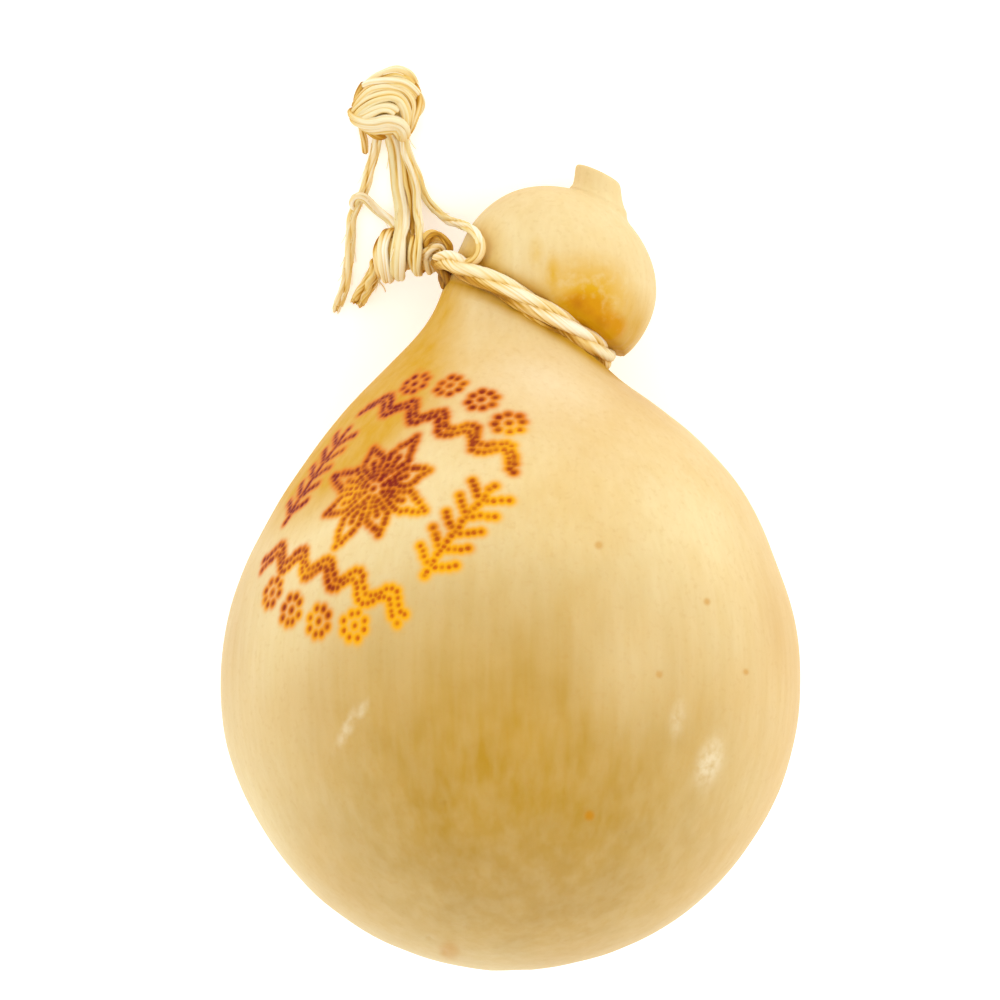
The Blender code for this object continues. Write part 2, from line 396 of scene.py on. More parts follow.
# %% Lay the free strands
UP = np.array([0.0, 0.0, 1.0])
TAIL_WIDTH = 2.5
SIDE_WIDTH = 2.2
SAG = 0.85
TAIL_INSIDE = (-30.2, 90.6, 4.4)
tail_line = smooth_line(LONG_TAIL)
tail_in_knot = smooth_line((TAIL_INSIDE, *LONG_TAIL))
frayed = lay_bundle(tail_line[-16:], UP, 2.2, 1.7, 15, 0.55, 13, splay=(0, 0.25), uneven=0.9)
long_tail = make_twine(
    "long_tail_yarns",
    lay_bundle(tail_in_knot[:-4], UP, TAIL_WIDTH, TAIL_WIDTH * SAG, 3, 1.5, 11, turns=0.25, light=0.9)
    + frayed
    + loose_hairs(tail_line, UP, TAIL_WIDTH, 12, 12),
)
side_line = smooth_line(SIDE_STRAND)
side_strand = make_twine(
    "side_strand_yarns",
    lay_bundle(side_line, UP, SIDE_WIDTH, SIDE_WIDTH * SAG, 3, 1.3, 21, turns=0.2)
    + loose_hairs(side_line, UP, SIDE_WIDTH, 8, 22),
)
for strand, line in (("side strand", side_line), ("long tail", tail_line)):
    print(strand, "length, mm:", round(line_length(line) / MM, 1))

# %% [markdown]
# Two short strands join the two knots, a cross strand grips the long tail in a half hitch and runs
# over to them, and a short tail hangs out of the knot at the neck. They are drawn a little further
# into the knots than the frame's solids go, so that no end shows. Deep between the two strands
# lies a third, flat one, painted dark ochre as the shade in the gap, which belongs to the front
# strand's piece.

# %% Routes of the short strands, in millimetres
MAIN_STRAND = (
    (-27.8, 94.0, 8.6), (-27.6, 91.4, 6.6), (-27.3, 88.6, 3.8), (-26.7, 84.5, 2.0),
    (-26.4, 80.8, 1.8), (-26.1, 76.2, 1.8), (-25.6, 73.0, 2.1), (-25.2, 70.8, 3.6),
    (-25.1, 69.7, 6.6), (-25.1, 69.0, 10.6), (-25.3, 68.2, 15.0), (-25.6, 66.2, 18.2),
    (-25.8, 63.4, 18.8), (-25.9, 60.4, 17.2), (-25.9, 58.0, 13.0),
)
FRONT_STRAND = (
    (-25.0, 93.4, 8.4), (-24.8, 91.4, 7.4), (-24.5, 88.8, 5.8), (-24.2, 85.2, 4.4),
    (-23.1, 81.9, 3.8), (-22.2, 79.0, 3.7), (-21.6, 76.1, 3.7), (-21.6, 73.2, 4.2),
    (-21.5, 71.0, 6.0), (-21.1, 69.9, 11.0), (-20.9, 69.4, 16.4), (-21.0, 67.8, 20.2),
    (-21.2, 65.0, 21.0), (-21.3, 61.8, 19.4), (-21.2, 59.8, 15.8),
)
CROSS_STRAND = (
    (-35.9, 71.0, 1.2), (-36.3, 72.9, 2.5), (-35.4, 74.6, 3.9), (-33.8, 74.3, 3.9),
    (-32.2, 72.0, 2.3), (-30.9, 70.5, 1.6), (-29.2, 69.2, 1.8), (-27.5, 68.2, 3.2),
    (-26.3, 67.6, 6.6),
)
SHORT_TAIL = (
    (-30.7, 61.4, 10.4), (-31.2, 58.4, 7.9), (-32.0, 55.8, 6.0), (-33.2, 52.8, 4.0),
    (-34.6, 50.4, 2.8), (-35.8, 48.0, 2.3), (-36.3, 47.1, 2.1),
)
# A flat strand painted dark ochre, as painted shade in the gap between two strands.
GAP_SHADE_STRAND = (
    (-24.7, 86.0, 2.6), (-24.1, 81.1, 2.4), (-23.7, 77.7, 2.4), (-23.1, 74.6, 2.4),
    (-22.9, 71.5, 2.9), (-22.9, 69.5, 5.2), (-22.9, 68.2, 9.4), (-23.1, 66.6, 14.0),
    (-23.2, 63.0, 14.6), (-23.2, 59.4, 10.5),
)

# %% Lay the short strands
main_line = smooth_line(MAIN_STRAND)
main_strand = make_twine(
    "main_strand_yarns",
    lay_bundle(main_line, UP, 3.7, 2.3, 4, 1.9, 31, turns=0.04)
    + loose_hairs(main_line, UP, 3.4, 8, 32),
)
front_line = smooth_line(FRONT_STRAND)
front_strand = make_twine(
    "front_strand_yarns",
    lay_bundle(front_line, UP, 2.2, 2.0, 3, 1.3, 41, turns=0.15)
    + lay_bundle(smooth_line(GAP_SHADE_STRAND), UP, 2.4, 1.5, 3, 1.3, 42, turns=0.1, light=0.64),
)
cross_line = smooth_line(CROSS_STRAND)
cross_strand = make_twine(
    "cross_strand_yarns",
    lay_bundle(cross_line, UP, 2.7, 2.0, 3, 1.5, 51, turns=0.1)
    + loose_hairs(cross_line, UP, 2.5, 5, 52),
)
short_line = smooth_line(SHORT_TAIL)
short_tail = make_twine(
    "short_tail_yarns",
    lay_bundle(short_line[:-3], UP, 4.0, 3.3, 3, 2.2, 61, turns=0.2, light=0.76)
    + lay_bundle(short_line[-14:], UP, 3.7, 2.9, 22, 0.66, 63, splay=(0, 0.15), uneven=1.0, light=0.74)
    + loose_hairs(short_line, UP, 3.7, 6, 62),
)

# %% [markdown]
# ## The two knots
#
# A pulled-tight knot is a pile of wraps: the same bundle goes over and round a small core. Each
# wrap is drawn on an egg-shaped lump of the knot's own size, on a map that looks down on the lump.
# The map's middle is the lump's top, and a distance of 1 from it is the lump's widest part, so a
# place beyond 1 is underneath. Wraps laid at different lifts cross over and under each other.

# %% Wraps over a lump
TOP_LUMP = ((-28.2, 97.0, 5.9), (8.0, 8.1, 5.6), 20.0)
CROWN_LUMP = ((-24.9, 102.8, 5.6), (4.3, 3.7, 4.2), -20.0)
LEFT_FLANK = ((-33.6, 93.6, 4.8), (3.2, 5.4, 4.2), 25.0)
LEFT_LOBE = ((-27.4, 63.1, 12.6), (4.4, 6.2, 5.8), -8.0)
RIGHT_LOBE = ((-20.3, 64.3, 15.6), (3.7, 5.0, 5.4), 12.0)
ARCH_LUMP = ((-18.0, 68.2, 17.4), (3.0, 3.0, 3.2), 0.0)
CORE_LIGHT = 0.56
GIRTH_WIDTH = 2.6
GIRTH_LIGHT = 0.85
WRAP_TURNS = 0.06
WRAP_YARN_SHARE = 0.55
YARN_SHARE = 0.58


def lump_point(lump, tilt, compass, sink):
    """Places on a lump shrunk by `sink`, from angles: down from its top, and round it."""
    centre, half, turn = lump
    level = np.sin(tilt)
    ball = np.stack([level * np.cos(compass), level * np.sin(compass), np.cos(tilt)], axis=-1)
    sunk = Matrix.Diagonal([(side - sink) * MM for side in half])
    shape = Matrix.Rotation(math.radians(turn), 3, "Z") @ sunk
    return ball @ np.array(shape).T + np.array(centre) * MM


def wrap(lump, seed, places, width, lift, light, height=2.1):
    """One wrap of the twine over a lump, through places on the lump's map.

    It is painted darker on the lump's flanks, as shade where less light reaches it.
    """
    flat = curve_through(places)
    tilt = np.hypot(flat[:, 0], flat[:, 1]) * math.pi / 2
    line = evenly(lump_point(lump, tilt, np.arctan2(flat[:, 1], flat[:, 0]), height / 2 - lift))
    outward = unit(line - np.array(lump[0]) * MM)
    yarn = width * WRAP_YARN_SHARE
    tubes = lay_bundle(line, outward, width, height, 3, yarn, seed, WRAP_TURNS, light=light)
    # Painted shade on the lump's flanks.
    shaded_flank = np.clip((0.6 - outward[:, 2]) / 0.7, 0, 1)
    for tube in tubes:
        tube["outside"] = tube["outside"] * (1 - 0.5 * shaded_flank[:, None])
    return tubes


def girth(lump, seed, far, lift):
    """A wrap that goes all the way round a lump, at one distance from the middle of its map."""
    turns = np.linspace(0, 2 * math.pi, 13)
    places = np.column_stack([far * np.cos(turns), (far - 0.1) * np.sin(turns)])
    return wrap(lump, seed, places, GIRTH_WIDTH, lift, GIRTH_LIGHT, height=2.0)


def core(lump, sink):
    """The inside of a knot, which shows between its wraps, painted dark as shade."""
    rings, sides = 16, 24
    tilt = np.linspace(math.pi - 0.05, 0.05, rings)[:, None]
    compass = np.linspace(0, 2 * math.pi, sides, endpoint=False)[None, :]
    tilt, compass = np.broadcast_arrays(tilt, compass)
    places = lump_point(lump, tilt, compass, sink)
    # Painted shade: the core is given less light than the wraps.
    outside = np.full(tilt.shape, CORE_LIGHT)
    return {"places": places, "straight": places, "outside": outside, "tint": 0.2}


print("the big knot's lump is", 2 * TOP_LUMP[1][0], "by", 2 * TOP_LUMP[1][1], "mm")

# %% [markdown]
# The big knot is the whole bundle tied on itself. Eight wraps cross its face, the top ones
# lifted over the others, and two girths close it underneath. Two thick folds stand off its upper
# end, and a single stiff end sticks out below. These three are bundles on routes of their own.

# %% Tie the big knot
CROWN = (
    (-35.0, 94.8, 3.0), (-34.1, 97.6, 4.2), (-32.8, 100.4, 5.4), (-30.9, 102.7, 6.6),
    (-28.8, 104.1, 7.4), (-26.0, 105.2, 7.8), (-23.8, 104.3, 7.2), (-22.7, 102.6, 6.0),
    (-22.6, 100.4, 4.6), (-23.2, 98.2, 3.4),
)
BUMP = (
    (-33.4, 101.2, 6.8), (-31.6, 102.4, 8.0), (-29.4, 103.0, 8.8), (-26.3, 103.1, 9.4),
    (-24.0, 102.4, 9.0), (-22.1, 100.4, 7.6), (-20.9, 97.8, 5.6), (-20.9, 95.8, 4.0),
    (-22.0, 93.6, 3.0),
)
SPIKE = ((-34.3, 92.3, 4.6), (-33.9, 89.5, 3.2), (-33.6, 87.0, 2.0), (-33.5, 83.9, 1.0))
TOP_WRAPS = (
    # places on the map, then width, lift and light
    (
        ((-0.4, 0.95), (-0.68, 0.55), (-0.84, 0.25), (-0.88, -0.1), (-0.78, -0.4), (-0.6, -0.9)),
        (2.2, 0.0, 0.8),
    ),
    (
        ((-1.2, 0.2), (-0.76, 0.3), (-0.4, 0.45), (-0.18, 0.52), (0.06, 0.5), (0.28, 0.42), (0.5, 0.26))
        + ((0.58, 0.06), (0.57, -0.15), (0.46, -0.36), (0.32, -0.8), (0.25, -1.2)),
        (2.7, 0.3, 0.9),
    ),
    (
        ((-1.2, 0.0), (-0.85, 0.08), (-0.5, 0.22), (-0.22, 0.29), (0.04, 0.28), (0.22, 0.22), (0.33, 0.1))
        + ((0.36, -0.1), (0.32, -0.34), (0.2, -0.66), (0.14, -1.2)),
        (2.9, 0.6, 0.95),
    ),
    (
        ((-1.2, -0.1), (-0.8, -0.04), (-0.4, 0.04), (-0.14, 0.07), (0.03, 0.04))
        + ((0.12, -0.04), (0.14, -0.12)),
        (2.8, 0.7, 0.95),
    ),
    (
        ((-1.0, -0.2), (-0.75, -0.26), (-0.5, -0.32), (-0.25, -0.34), (-0.06, -0.38))
        + ((0.05, -0.5), (0.04, -1.1)),
        (2.9, 0.6, 0.85),
    ),
    (
        ((-1.2, 0.1), (-0.92, 0.04), (-0.68, -0.04), (-0.45, -0.11), (-0.25, -0.15), (-0.05, -0.17))
        + ((0.1, -0.28), (0.16, -0.46), (0.12, -0.8), (0.1, -1.2)),
        (3.3, 1.3, 1.0),
    ),
    (
        ((1.1, 0.5), (0.95, 0.1), (0.82, -0.14), (0.66, -0.3), (0.5, -0.46), (0.36, -0.7), (0.2, -1.2)),
        (2.5, 0.7, 0.9),
    ),
    (
        ((-0.72, -0.2), (-0.68, -0.42), (-0.63, -0.72), (-0.55, -1.15)),
        (3.3, 0.3, 0.8),
    ),
)
top_tubes = [core(TOP_LUMP, 0.9), core(CROWN_LUMP, 1.6), core(LEFT_FLANK, 2.0)]
for number, (places, (width, lift, light)) in enumerate(TOP_WRAPS):
    top_tubes += wrap(TOP_LUMP, 110 + number, places, width, lift, light)
for number, far in enumerate((1.05, 1.3)):
    top_tubes += girth(TOP_LUMP, 120 + number, far, lift=-1.3)
for seed, route, width, height, yarns, light in (
    (130, CROWN, 3.2, 2.6, 3, 1.0),
    (131, BUMP, 2.9, 2.2, 3, 0.95),
    (132, SPIKE, 1.5, 1.3, 1, 0.65),
):
    yarn = width if yarns == 1 else width * YARN_SHARE
    top_tubes += lay_bundle(smooth_line(route), UP, width, height, yarns, yarn, seed, 0.08, light=light)
top_tubes += loose_hairs(smooth_line(CROWN), UP, 3.2, 8, 140)
top_knot = make_twine("top_knot_wraps", top_tubes)

# %% [markdown]
# The knot at the neck has two lobes, where the strands fold over and tuck under, and two short
# arches that hold the end of the tie, painted darker as shade. A thick strand, painted dark brown
# as the shade behind the tie, shows there, and one stray fibre hangs below.

# %% Tie the knot at the neck
LOBE_WRAPS = (
    # lump, places on the map, then width, lift and light
    (
        LEFT_LOBE,
        ((-0.9, 1.5), (-0.88, 0.9), (-0.92, 0.3), (-0.66, -0.1), (-0.45, -0.6), (-0.4, -1.2)),
        (2.7, 0.1, 0.9),
    ),
    (
        LEFT_LOBE,
        ((-0.3, 1.5), (-0.42, 0.95), (-0.46, 0.37), (-0.32, 0.0), (-0.14, -0.5), (0.0, -1.2)),
        (3.0, 0.5, 1.0),
    ),
    (
        LEFT_LOBE,
        ((0.6, 1.5), (0.42, 0.99), (0.4, 0.43), (0.44, 0.05), (0.7, -0.5), (0.9, -0.9)),
        (2.7, 0.1, 0.9),
    ),
    (
        RIGHT_LOBE,
        ((-0.3, 1.5), (-0.2, 0.95), (-0.38, 0.38), (-0.5, 0.0), (-0.55, -0.5), (-0.5, -1.2)),
        (2.5, 0.2, 0.9),
    ),
    (
        RIGHT_LOBE,
        ((0.7, 1.1), (0.6, 0.72), (0.36, 0.28), (0.3, -0.05), (0.34, -0.55), (0.45, -1.1)),
        (2.8, 0.3, 0.9),
    ),
    (
        RIGHT_LOBE,
        ((1.1, 0.9), (1.0, 0.6), (0.88, 0.3), (0.82, -0.1), (0.84, -0.5), (0.85, -1.0)),
        (3.0, 0.5, 0.78),
    ),
)
ARCH = (
    (-19.6, 65.4, 17.6), (-19.3, 68.2, 19.8), (-18.0, 70.6, 21.4), (-16.4, 71.2, 22.2),
    (-15.0, 70.1, 22.6), (-14.0, 68.5, 22.9), (-14.3, 66.8, 23.0), (-15.4, 65.6, 22.8),
    (-16.8, 65.0, 22.2),
)
ARCH_INSIDE = (
    (-20.0, 63.8, 18.6), (-19.2, 66.0, 20.2), (-17.4, 67.9, 21.4), (-15.7, 68.2, 21.9),
    (-15.3, 66.6, 22.0), (-16.4, 64.6, 21.6),
)
BEHIND_TIE = (
    (-17.0, 65.0, 21.0), (-16.0, 63.9, 23.0), (-15.0, 62.8, 25.4), (-14.4, 61.4, 26.8),
    (-14.4, 60.0, 26.4),
)
STRAY = ((-31.2, 56.0, 7.2), (-30.8, 54.8, 5.6), (-29.6, 52.6, 4.0), (-29.2, 51.0, 3.0))
neck_tubes = [core(LEFT_LOBE, 1.5), core(RIGHT_LOBE, 1.4), core(ARCH_LUMP, 0.4)]
for number, (lump, places, (width, lift, light)) in enumerate(LOBE_WRAPS):
    neck_tubes += wrap(lump, 200 + number, places, width, lift, light)
for number, lump in enumerate((LEFT_LOBE, RIGHT_LOBE)):
    neck_tubes += girth(lump, 220 + number, 1.15, lift=-0.8)
# The last number is light: the arches and the strand behind the tie are painted darker, as shade.
for seed, route, width, yarns, light in (
    (230, ARCH, 1.8, 3, 0.52),
    (231, ARCH_INSIDE, 2.6, 3, 0.78),
    (232, BEHIND_TIE, 3.7, 3, 0.4),
    (233, STRAY, 0.32, 1, 0.8),
):
    yarn = width if yarns == 1 else width * YARN_SHARE
    neck_tubes += lay_bundle(smooth_line(route), UP, width, width, yarns, yarn, seed, 0.5, light=light)
neck_knot = make_twine("neck_knot_wraps", neck_tubes)

# %% [markdown]
# ## The tie round the neck
#
# The tie is thicker than the loose strands, because it is plied: three bundles turn round each
# other, once in about four centimetres. A screw modifier could twist a straight rope, but this one
# bends and gets thinner, so each ply follows a line worked out from the tie's own middle line. That
# line goes once round the neck and then dives into the knot, where it tapers.

# %% The tie's middle line
ROPE_OPENING = math.radians(34.0)
ROPE_TUCK = math.radians(40.0)
ROPE_INTO_KNOT = (
    (-12.5, 67.3, 31.6), (-14.0, 67.1, 28.6), (-15.5, 66.3, 26.0), (-17.0, 65.7, 24.0),
)
LEAD_IN = 12


def tie_ring(turns, radius):
    """Points on a circle round the neck, as places on the table; a turn of 0 is at the right."""
    across = radius * np.cos(turns)
    upright = np.column_stack(
        [
            TIE_CENTRE[0] + across * math.cos(TIE_LEAN),
            TIE_CENTRE[1] - across * math.sin(TIE_LEAN),
            radius * np.sin(turns),
        ]
    )
    return on_table(upright)


ring = tie_ring(
    np.linspace(-math.pi + ROPE_OPENING / 2, math.pi - ROPE_TUCK, 400), ROPE_CENTRE_RADIUS
)
into_knot = curve_through([ring[-LEAD_IN] / MM, ring[-1] / MM, *ROPE_INTO_KNOT]) * MM
rope_line = evenly(np.vstack([ring[:-LEAD_IN], into_knot]))
tie_middle = tie_ring(np.zeros(1), 0.0)[0]
tie_axis = np.array(
    lay_down.to_3x3() @ Vector((math.sin(TIE_LEAN), math.cos(TIE_LEAN), 0))
)
print("tie length, mm:", round(line_length(rope_line) / MM, 1))

# %% [markdown]
# The tie is painted darker at its hidden end and along the edge that touches the body, as painted
# shade where it lies in shadow, and it is left pale on its outside.

# %% Ply the tie
ROPE_WIDTH = 5.1
ROPE_PLIES = 3
PLY = 2.9
PLY_PITCH = 42.0
# The hidden end and the edge on the body's side are painted darker, as shade.
SHADED_END = 5.0
END_SHADE_DEPTH = 0.5
SHADED_EDGE_FROM = 1.0
SHADED_EDGE_OVER = 0.8
EDGE_SHADE_DEPTH = 0.36
TAPERED_END = 9.0
TAPER = 0.32

rope_out = unit(rope_line - tie_middle)
rope_side, rope_away = directions(rope_line, rope_out)
ply_offset = (ROPE_WIDTH - PLY) / 2 * MM
along_rope = np.arange(len(rope_line)) * YARN_STEP
taper = 1 - TAPER * np.clip(1 - along_rope[::-1] / TAPERED_END, 0, 1) ** 1.5
# Painted shade at the tie's hidden end.
end_shade = END_SHADE_DEPTH * np.clip(1 - along_rope / SHADED_END, 0, 1)
ply_turn = np.linspace(0, 1, len(rope_line)) * line_length(rope_line) / (PLY_PITCH * MM)
rope_tubes = []
for ply in range(ROPE_PLIES):
    angle = 2 * math.pi * (ply_turn + ply / ROPE_PLIES)
    ply_line = rope_line + (ply_offset * taper * np.cos(angle))[:, None] * rope_side
    ply_line = ply_line + (ply_offset * taper * np.sin(angle))[:, None] * rope_away
    tube = lay_bundle(ply_line, rope_out, PLY, PLY, 1, PLY, 300 + ply, turns=-0.35)[0]
    tube["places"] = ply_line[:, None] + (tube["places"] - ply_line[:, None]) * taper[:, None, None]
    offset = tube["places"] - rope_line[:, None]
    out = np.linalg.norm(offset, axis=-1) / (ROPE_WIDTH / 2 * MM)
    # Painted shade along the edge that lies against the body.
    shaded_edge = np.clip((-offset @ tie_axis / MM - SHADED_EDGE_FROM) / SHADED_EDGE_OVER, 0, 1)
    tube["outside"] = np.clip(out, 0, 1) * tube["outside"] * (1 - end_shade[:, None])
    tube["outside"] = tube["outside"] * (1 - EDGE_SHADE_DEPTH * shaded_edge)
    rope_tubes.append(tube)
print("tie plies:", len(rope_tubes))

# %% [markdown]
# Under the plies a thin strand, painted dark ochre as the tie's shadow, shows along the body's
# side. It starts and ends beneath the tie, so it moves out from it and back in one bow. The free
# side strand ends in a flat fold that is tucked under the tie beside the knot, painted darker as
# shade there.

# %% Add the soaked strand and the tucked end
UNDER_ARC = (math.radians(2), math.radians(118))
UNDER_POINTS = 200
UNDER_DEPTH = 0.6
UNDER_BOW = 2.15
UNDER_WIDTH = 1.5

bow = np.sin(np.linspace(0, math.pi, UNDER_POINTS)) ** 0.6
under_shift = (UNDER_DEPTH + UNDER_BOW * bow)[:, None] * MM * tie_axis
under_ring = tie_ring(np.linspace(*UNDER_ARC, UNDER_POINTS), ROPE_CENTRE_RADIUS - UNDER_DEPTH)
under_line = evenly(under_ring - under_shift)
under_out = unit(under_line - tie_middle)
# Painted dark ochre, as the tie's shadow on the body.
rope_tubes += lay_bundle(
    under_line, under_out, UNDER_WIDTH, UNDER_WIDTH, 3, 0.95, 340, turns=0.6, light=0.55
)
TUCKED_END = (
    (-7.4, 74.2, 33.6), (-6.9, 73.3, 36.0), (-7.0, 71.8, 36.8), (-7.9, 70.2, 36.4),
    (-9.2, 68.8, 35.2), (-10.2, 67.6, 33.6),
)
# Painted darker, as shade under the tie.
rope_tubes += lay_bundle(smooth_line(TUCKED_END), UP, 2.6, 1.7, 3, 1.4, 330, turns=0.2, light=0.7)
neck_loop = make_twine("neck_tie_plies", rope_tubes)

# %% [markdown]
# ## The cheese
#
# The body is made as a potter would throw it: one ring of points is drawn upwards, and each step
# widens, narrows and tilts it. In Blender that is a circle, extruded again and again, with a
# resize and a turn after each extrusion. A subdivision surface then rounds it off. A sculpted
# sphere could give the same form, but rings keep the neck and head exactly where the frame has
# them.

# %% The cheese's rings
# Each ring: u and v of its centre, lean to the right in degrees, radius.
SHOULDER = (
    (0.6, 33.5, 0.0, 56.7),
    (1.0, 40.4, 0.0, 53.2),
    (1.9, 50.1, 2.3, 46.4),
    (1.9, 58.9, 4.4, 38.5),
    (1.9, 65.8, 7.0, 31.1),
    (1.9, 70.9, 11.0, 25.1),
    (2.3, 75.0, 16.5, 21.8),
    (2.7, 78.6, 22.0, 20.5),
    (3.1, 83.1, 29.5, 19.6),
)
HEAD_CENTRE = (10.6, 90.5)
HEAD_ACROSS = 23.2
HEAD_ALONG = 20.6
HEAD_ARC = (-18.0, 72.0)
HEAD_STEPS = 13
HEAD_CREEP = (42.6, 28.6)
HEAD_LEAN = (39.3, 29.5)
NUB_BASE = (19.9, 108.9)
NUB_LEAN = 24.0
NUB_RADIUS = 5.7
# Distance above the nub's base, and share of its radius, from the head's top to the flat end.
NUB_PROFILE = (
    (0.0, 1.27),
    (0.7, 1.12),
    (2.6, 1.03),
    (4.8, 1.0),
    (5.8, 0.97),
    (6.15, 0.88),
    (6.2, 0.6),
)
BODY_STEPS = 20


def body_rings():
    """Rings of the round body, from its foot up to the shoulder."""
    rings = []
    for angle in np.radians(np.linspace(-86, 24, BODY_STEPS + 1)):
        rings.append((0, BODY_RADIUS * math.sin(angle), 0, BODY_RADIUS * math.cos(angle)))
    return rings


def head_rings():
    """Rings of the head, whose centres creep over to the right and then back to the nub."""
    rings = []
    for share in np.linspace(0, 1, HEAD_STEPS + 1):
        angle = math.radians(HEAD_ARC[0] + (HEAD_ARC[1] - HEAD_ARC[0]) * share)
        creep = math.radians(HEAD_CREEP[0] + (HEAD_CREEP[1] - HEAD_CREEP[0]) * share)
        lean = HEAD_LEAN[0] + (HEAD_LEAN[1] - HEAD_LEAN[0]) * share
        along = HEAD_ALONG * math.sin(angle)
        u = HEAD_CENTRE[0] + along * math.sin(creep)
        v = HEAD_CENTRE[1] + along * math.cos(creep)
        rings.append((u, v, lean, HEAD_ACROSS * math.cos(angle)))
    return rings


def nub_rings():
    """Rings of the small nub left where the curd was pinched off. They lean, but it grows along v."""
    u, v = NUB_BASE
    return [(u, v + far, NUB_LEAN, NUB_RADIUS * share) for far, share in NUB_PROFILE]


cheese_rings = [*body_rings(), *SHOULDER, *head_rings(), *nub_rings()]
print(len(cheese_rings), "rings from foot to nub")

# %% [markdown]
# Now the rings are drawn. Each extrusion moves the last ring's points to the next centre, a resize
# gives them the next radius, and a turn about that centre gives them the next lean.

# %% Draw the rings up
ROUND = 56


def deselect_all():
    """An operator acts on all that is selected, so this comes before each new primitive."""
    for obj in bpy.context.selected_objects:
        obj.select_set(False)


deselect_all()
u, v, lean, radius = cheese_rings[0]
bpy.ops.mesh.primitive_circle_add(
    vertices=ROUND, radius=radius * MM, location=(u * MM, v * MM, 0), rotation=(math.radians(-90), 0, 0)
)
cheese = bpy.context.object
cheese.name = cheese.data.name = "cheese_rind"
bpy.ops.object.transform_apply(location=True, rotation=True, scale=True)
bpy.ops.object.mode_set(mode="EDIT")
bpy.ops.mesh.select_all(action="SELECT")
for lower, upper in zip(cheese_rings, cheese_rings[1:]):
    step = Vector((upper[0] - lower[0], upper[1] - lower[1], 0)) * MM
    centre = Vector((upper[0], upper[1], 0)) * MM
    bpy.ops.mesh.extrude_edges_move(TRANSFORM_OT_translate={"value": step})
    bpy.ops.transform.resize(value=[upper[3] / lower[3]] * 3, center_override=centre)
    if upper[2] != lower[2]:
        bpy.ops.transform.rotate(
            value=math.radians(upper[2] - lower[2]), orient_axis="Z", center_override=centre
        )
bpy.ops.object.mode_set(mode="OBJECT")
print("cheese cage:", len(cheese.data.vertices), "points")

# %% [markdown]
# The two open ends are closed by a grid fill. A fan of triangles would do, but its middle would
# pinch when it is rounded, and the foot of the cheese is in plain sight.

# %% Close the foot and the nub


def places_of(mesh):
    """The places of a mesh's points, one in each row."""
    places = np.empty(len(mesh.vertices) * 3, np.float32)
    mesh.vertices.foreach_get("co", places)
    return places.reshape(-1, 3).astype(float)


def select_points(obj, chosen):
    """Selects the points of a mesh for which `chosen` is true, and what they enclose."""
    mesh = obj.data
    mesh.vertices.foreach_set("select", chosen)
    edges = np.empty(len(mesh.edges) * 2, np.int32)
    mesh.edges.foreach_get("vertices", edges)
    mesh.edges.foreach_set("select", chosen[edges].reshape(-1, 2).all(axis=1))
    mesh.polygons.foreach_set("select", [all(chosen[v] for v in face.vertices) for face in mesh.polygons])


for end in (np.arange(ROUND), np.arange(ROUND) + len(cheese.data.vertices) - ROUND):
    chosen = np.zeros(len(cheese.data.vertices), bool)
    chosen[end] = True
    select_points(cheese, chosen)
    bpy.ops.object.mode_set(mode="EDIT")
    bpy.ops.mesh.select_mode(type="EDGE")
    bpy.ops.mesh.fill_grid(span=ROUND // 4)
    bpy.ops.object.mode_set(mode="OBJECT")
bpy.ops.object.mode_set(mode="EDIT")
bpy.ops.mesh.select_all(action="SELECT")
bpy.ops.mesh.normals_make_consistent(inside=False)
bpy.ops.object.mode_set(mode="OBJECT")
rounded = cheese.modifiers.new("rounded", "SUBSURF")
rounded.levels = rounded.render_levels = 2
bpy.ops.object.modifier_apply(modifier=rounded.name)
print("rounded cheese:", len(cheese.data.polygons), "faces")

# %% [markdown]
# ## Marks in the rind
#
# Pits, scuffs and the burnt mark are all smaller than the faces of the rounded mesh. More faces
# everywhere would be wasteful, so only the places that carry a mark are subdivided further.
#
# The burnt mark is pressed with a hot iron made of short pins. The design here is a plain one: a
# star flower between two pairs of waves, with sprigs beside it and small flowers above and below.
# Every line of it is a row of dots, and no two dots are burnt quite alike.

# %% The burnt mark's design, in millimetres round its centre
MARK_PLACE = (-27.2, 36.4)
MARK_LEAN = math.radians(25.0)
MARK_REACH = (34.0, 38.0)
DOT_PITCH = 1.3
DOT_SIZE = 0.6
DOT_JITTER = 0.14
DOT_DEPTH = 0.2
SCORCH_SIZE = 1.5
FLOWER_RADIUS = 2.7
PETALS = 8
PETAL_TIPS = (15.0, 12.6)
PETAL_WIDTH = 2.7


def dots_along(corners):
    """Dots one pitch apart along a line through the corners."""
    corners = np.array(corners, float)
    along = np.concatenate([[0], np.cumsum(np.hypot(*np.diff(corners, axis=0).T))])
    wanted = np.linspace(0, along[-1], max(round(along[-1] / DOT_PITCH), 1) + 1)
    return np.column_stack([np.interp(wanted, along, corners[:, axis]) for axis in (0, 1)])


def petal(angle, near, far, width):
    """A pointed leaf with a rib, which grows away from the star's middle."""
    along = np.array([math.sin(angle), math.cos(angle)])
    aside = np.array([along[1], -along[0]])
    middle = (near + far) / 2
    right, left = [along * middle + aside * width * side for side in (1, -1)]
    foot, tip = along * near, along * far
    outer, inner = dots_along([foot, right, tip]), dots_along([tip, left, foot])[1:-1]
    return [outer, inner, dots_along([foot, along * middle])[1:]]


def wave(y, half_width, rise, crests):
    """A wavy row across the mark."""
    x = np.linspace(-half_width, half_width, 120)
    return dots_along(np.column_stack([x, y + rise * np.cos(math.pi * crests * x / half_width)]))


def small_flower(x, y):
    """A ring of eight dots round a ninth."""
    turns = np.linspace(0, 2 * math.pi, 8, endpoint=False)
    ring = FLOWER_RADIUS * np.column_stack([np.cos(turns), np.sin(turns)])
    return np.vstack([ring + (x, y), [(x, y)]])


def sprig(x, low, high):
    """A stem with pairs of leaves."""
    rows = [dots_along([(x, low), (x, high)])]
    for y in np.arange(low + 2, high - 2, 4.6):
        rows += [dots_along([(x, y), (x + side * 4.4, y + 3.4)])[1:] for side in (1, -1)]
    return rows


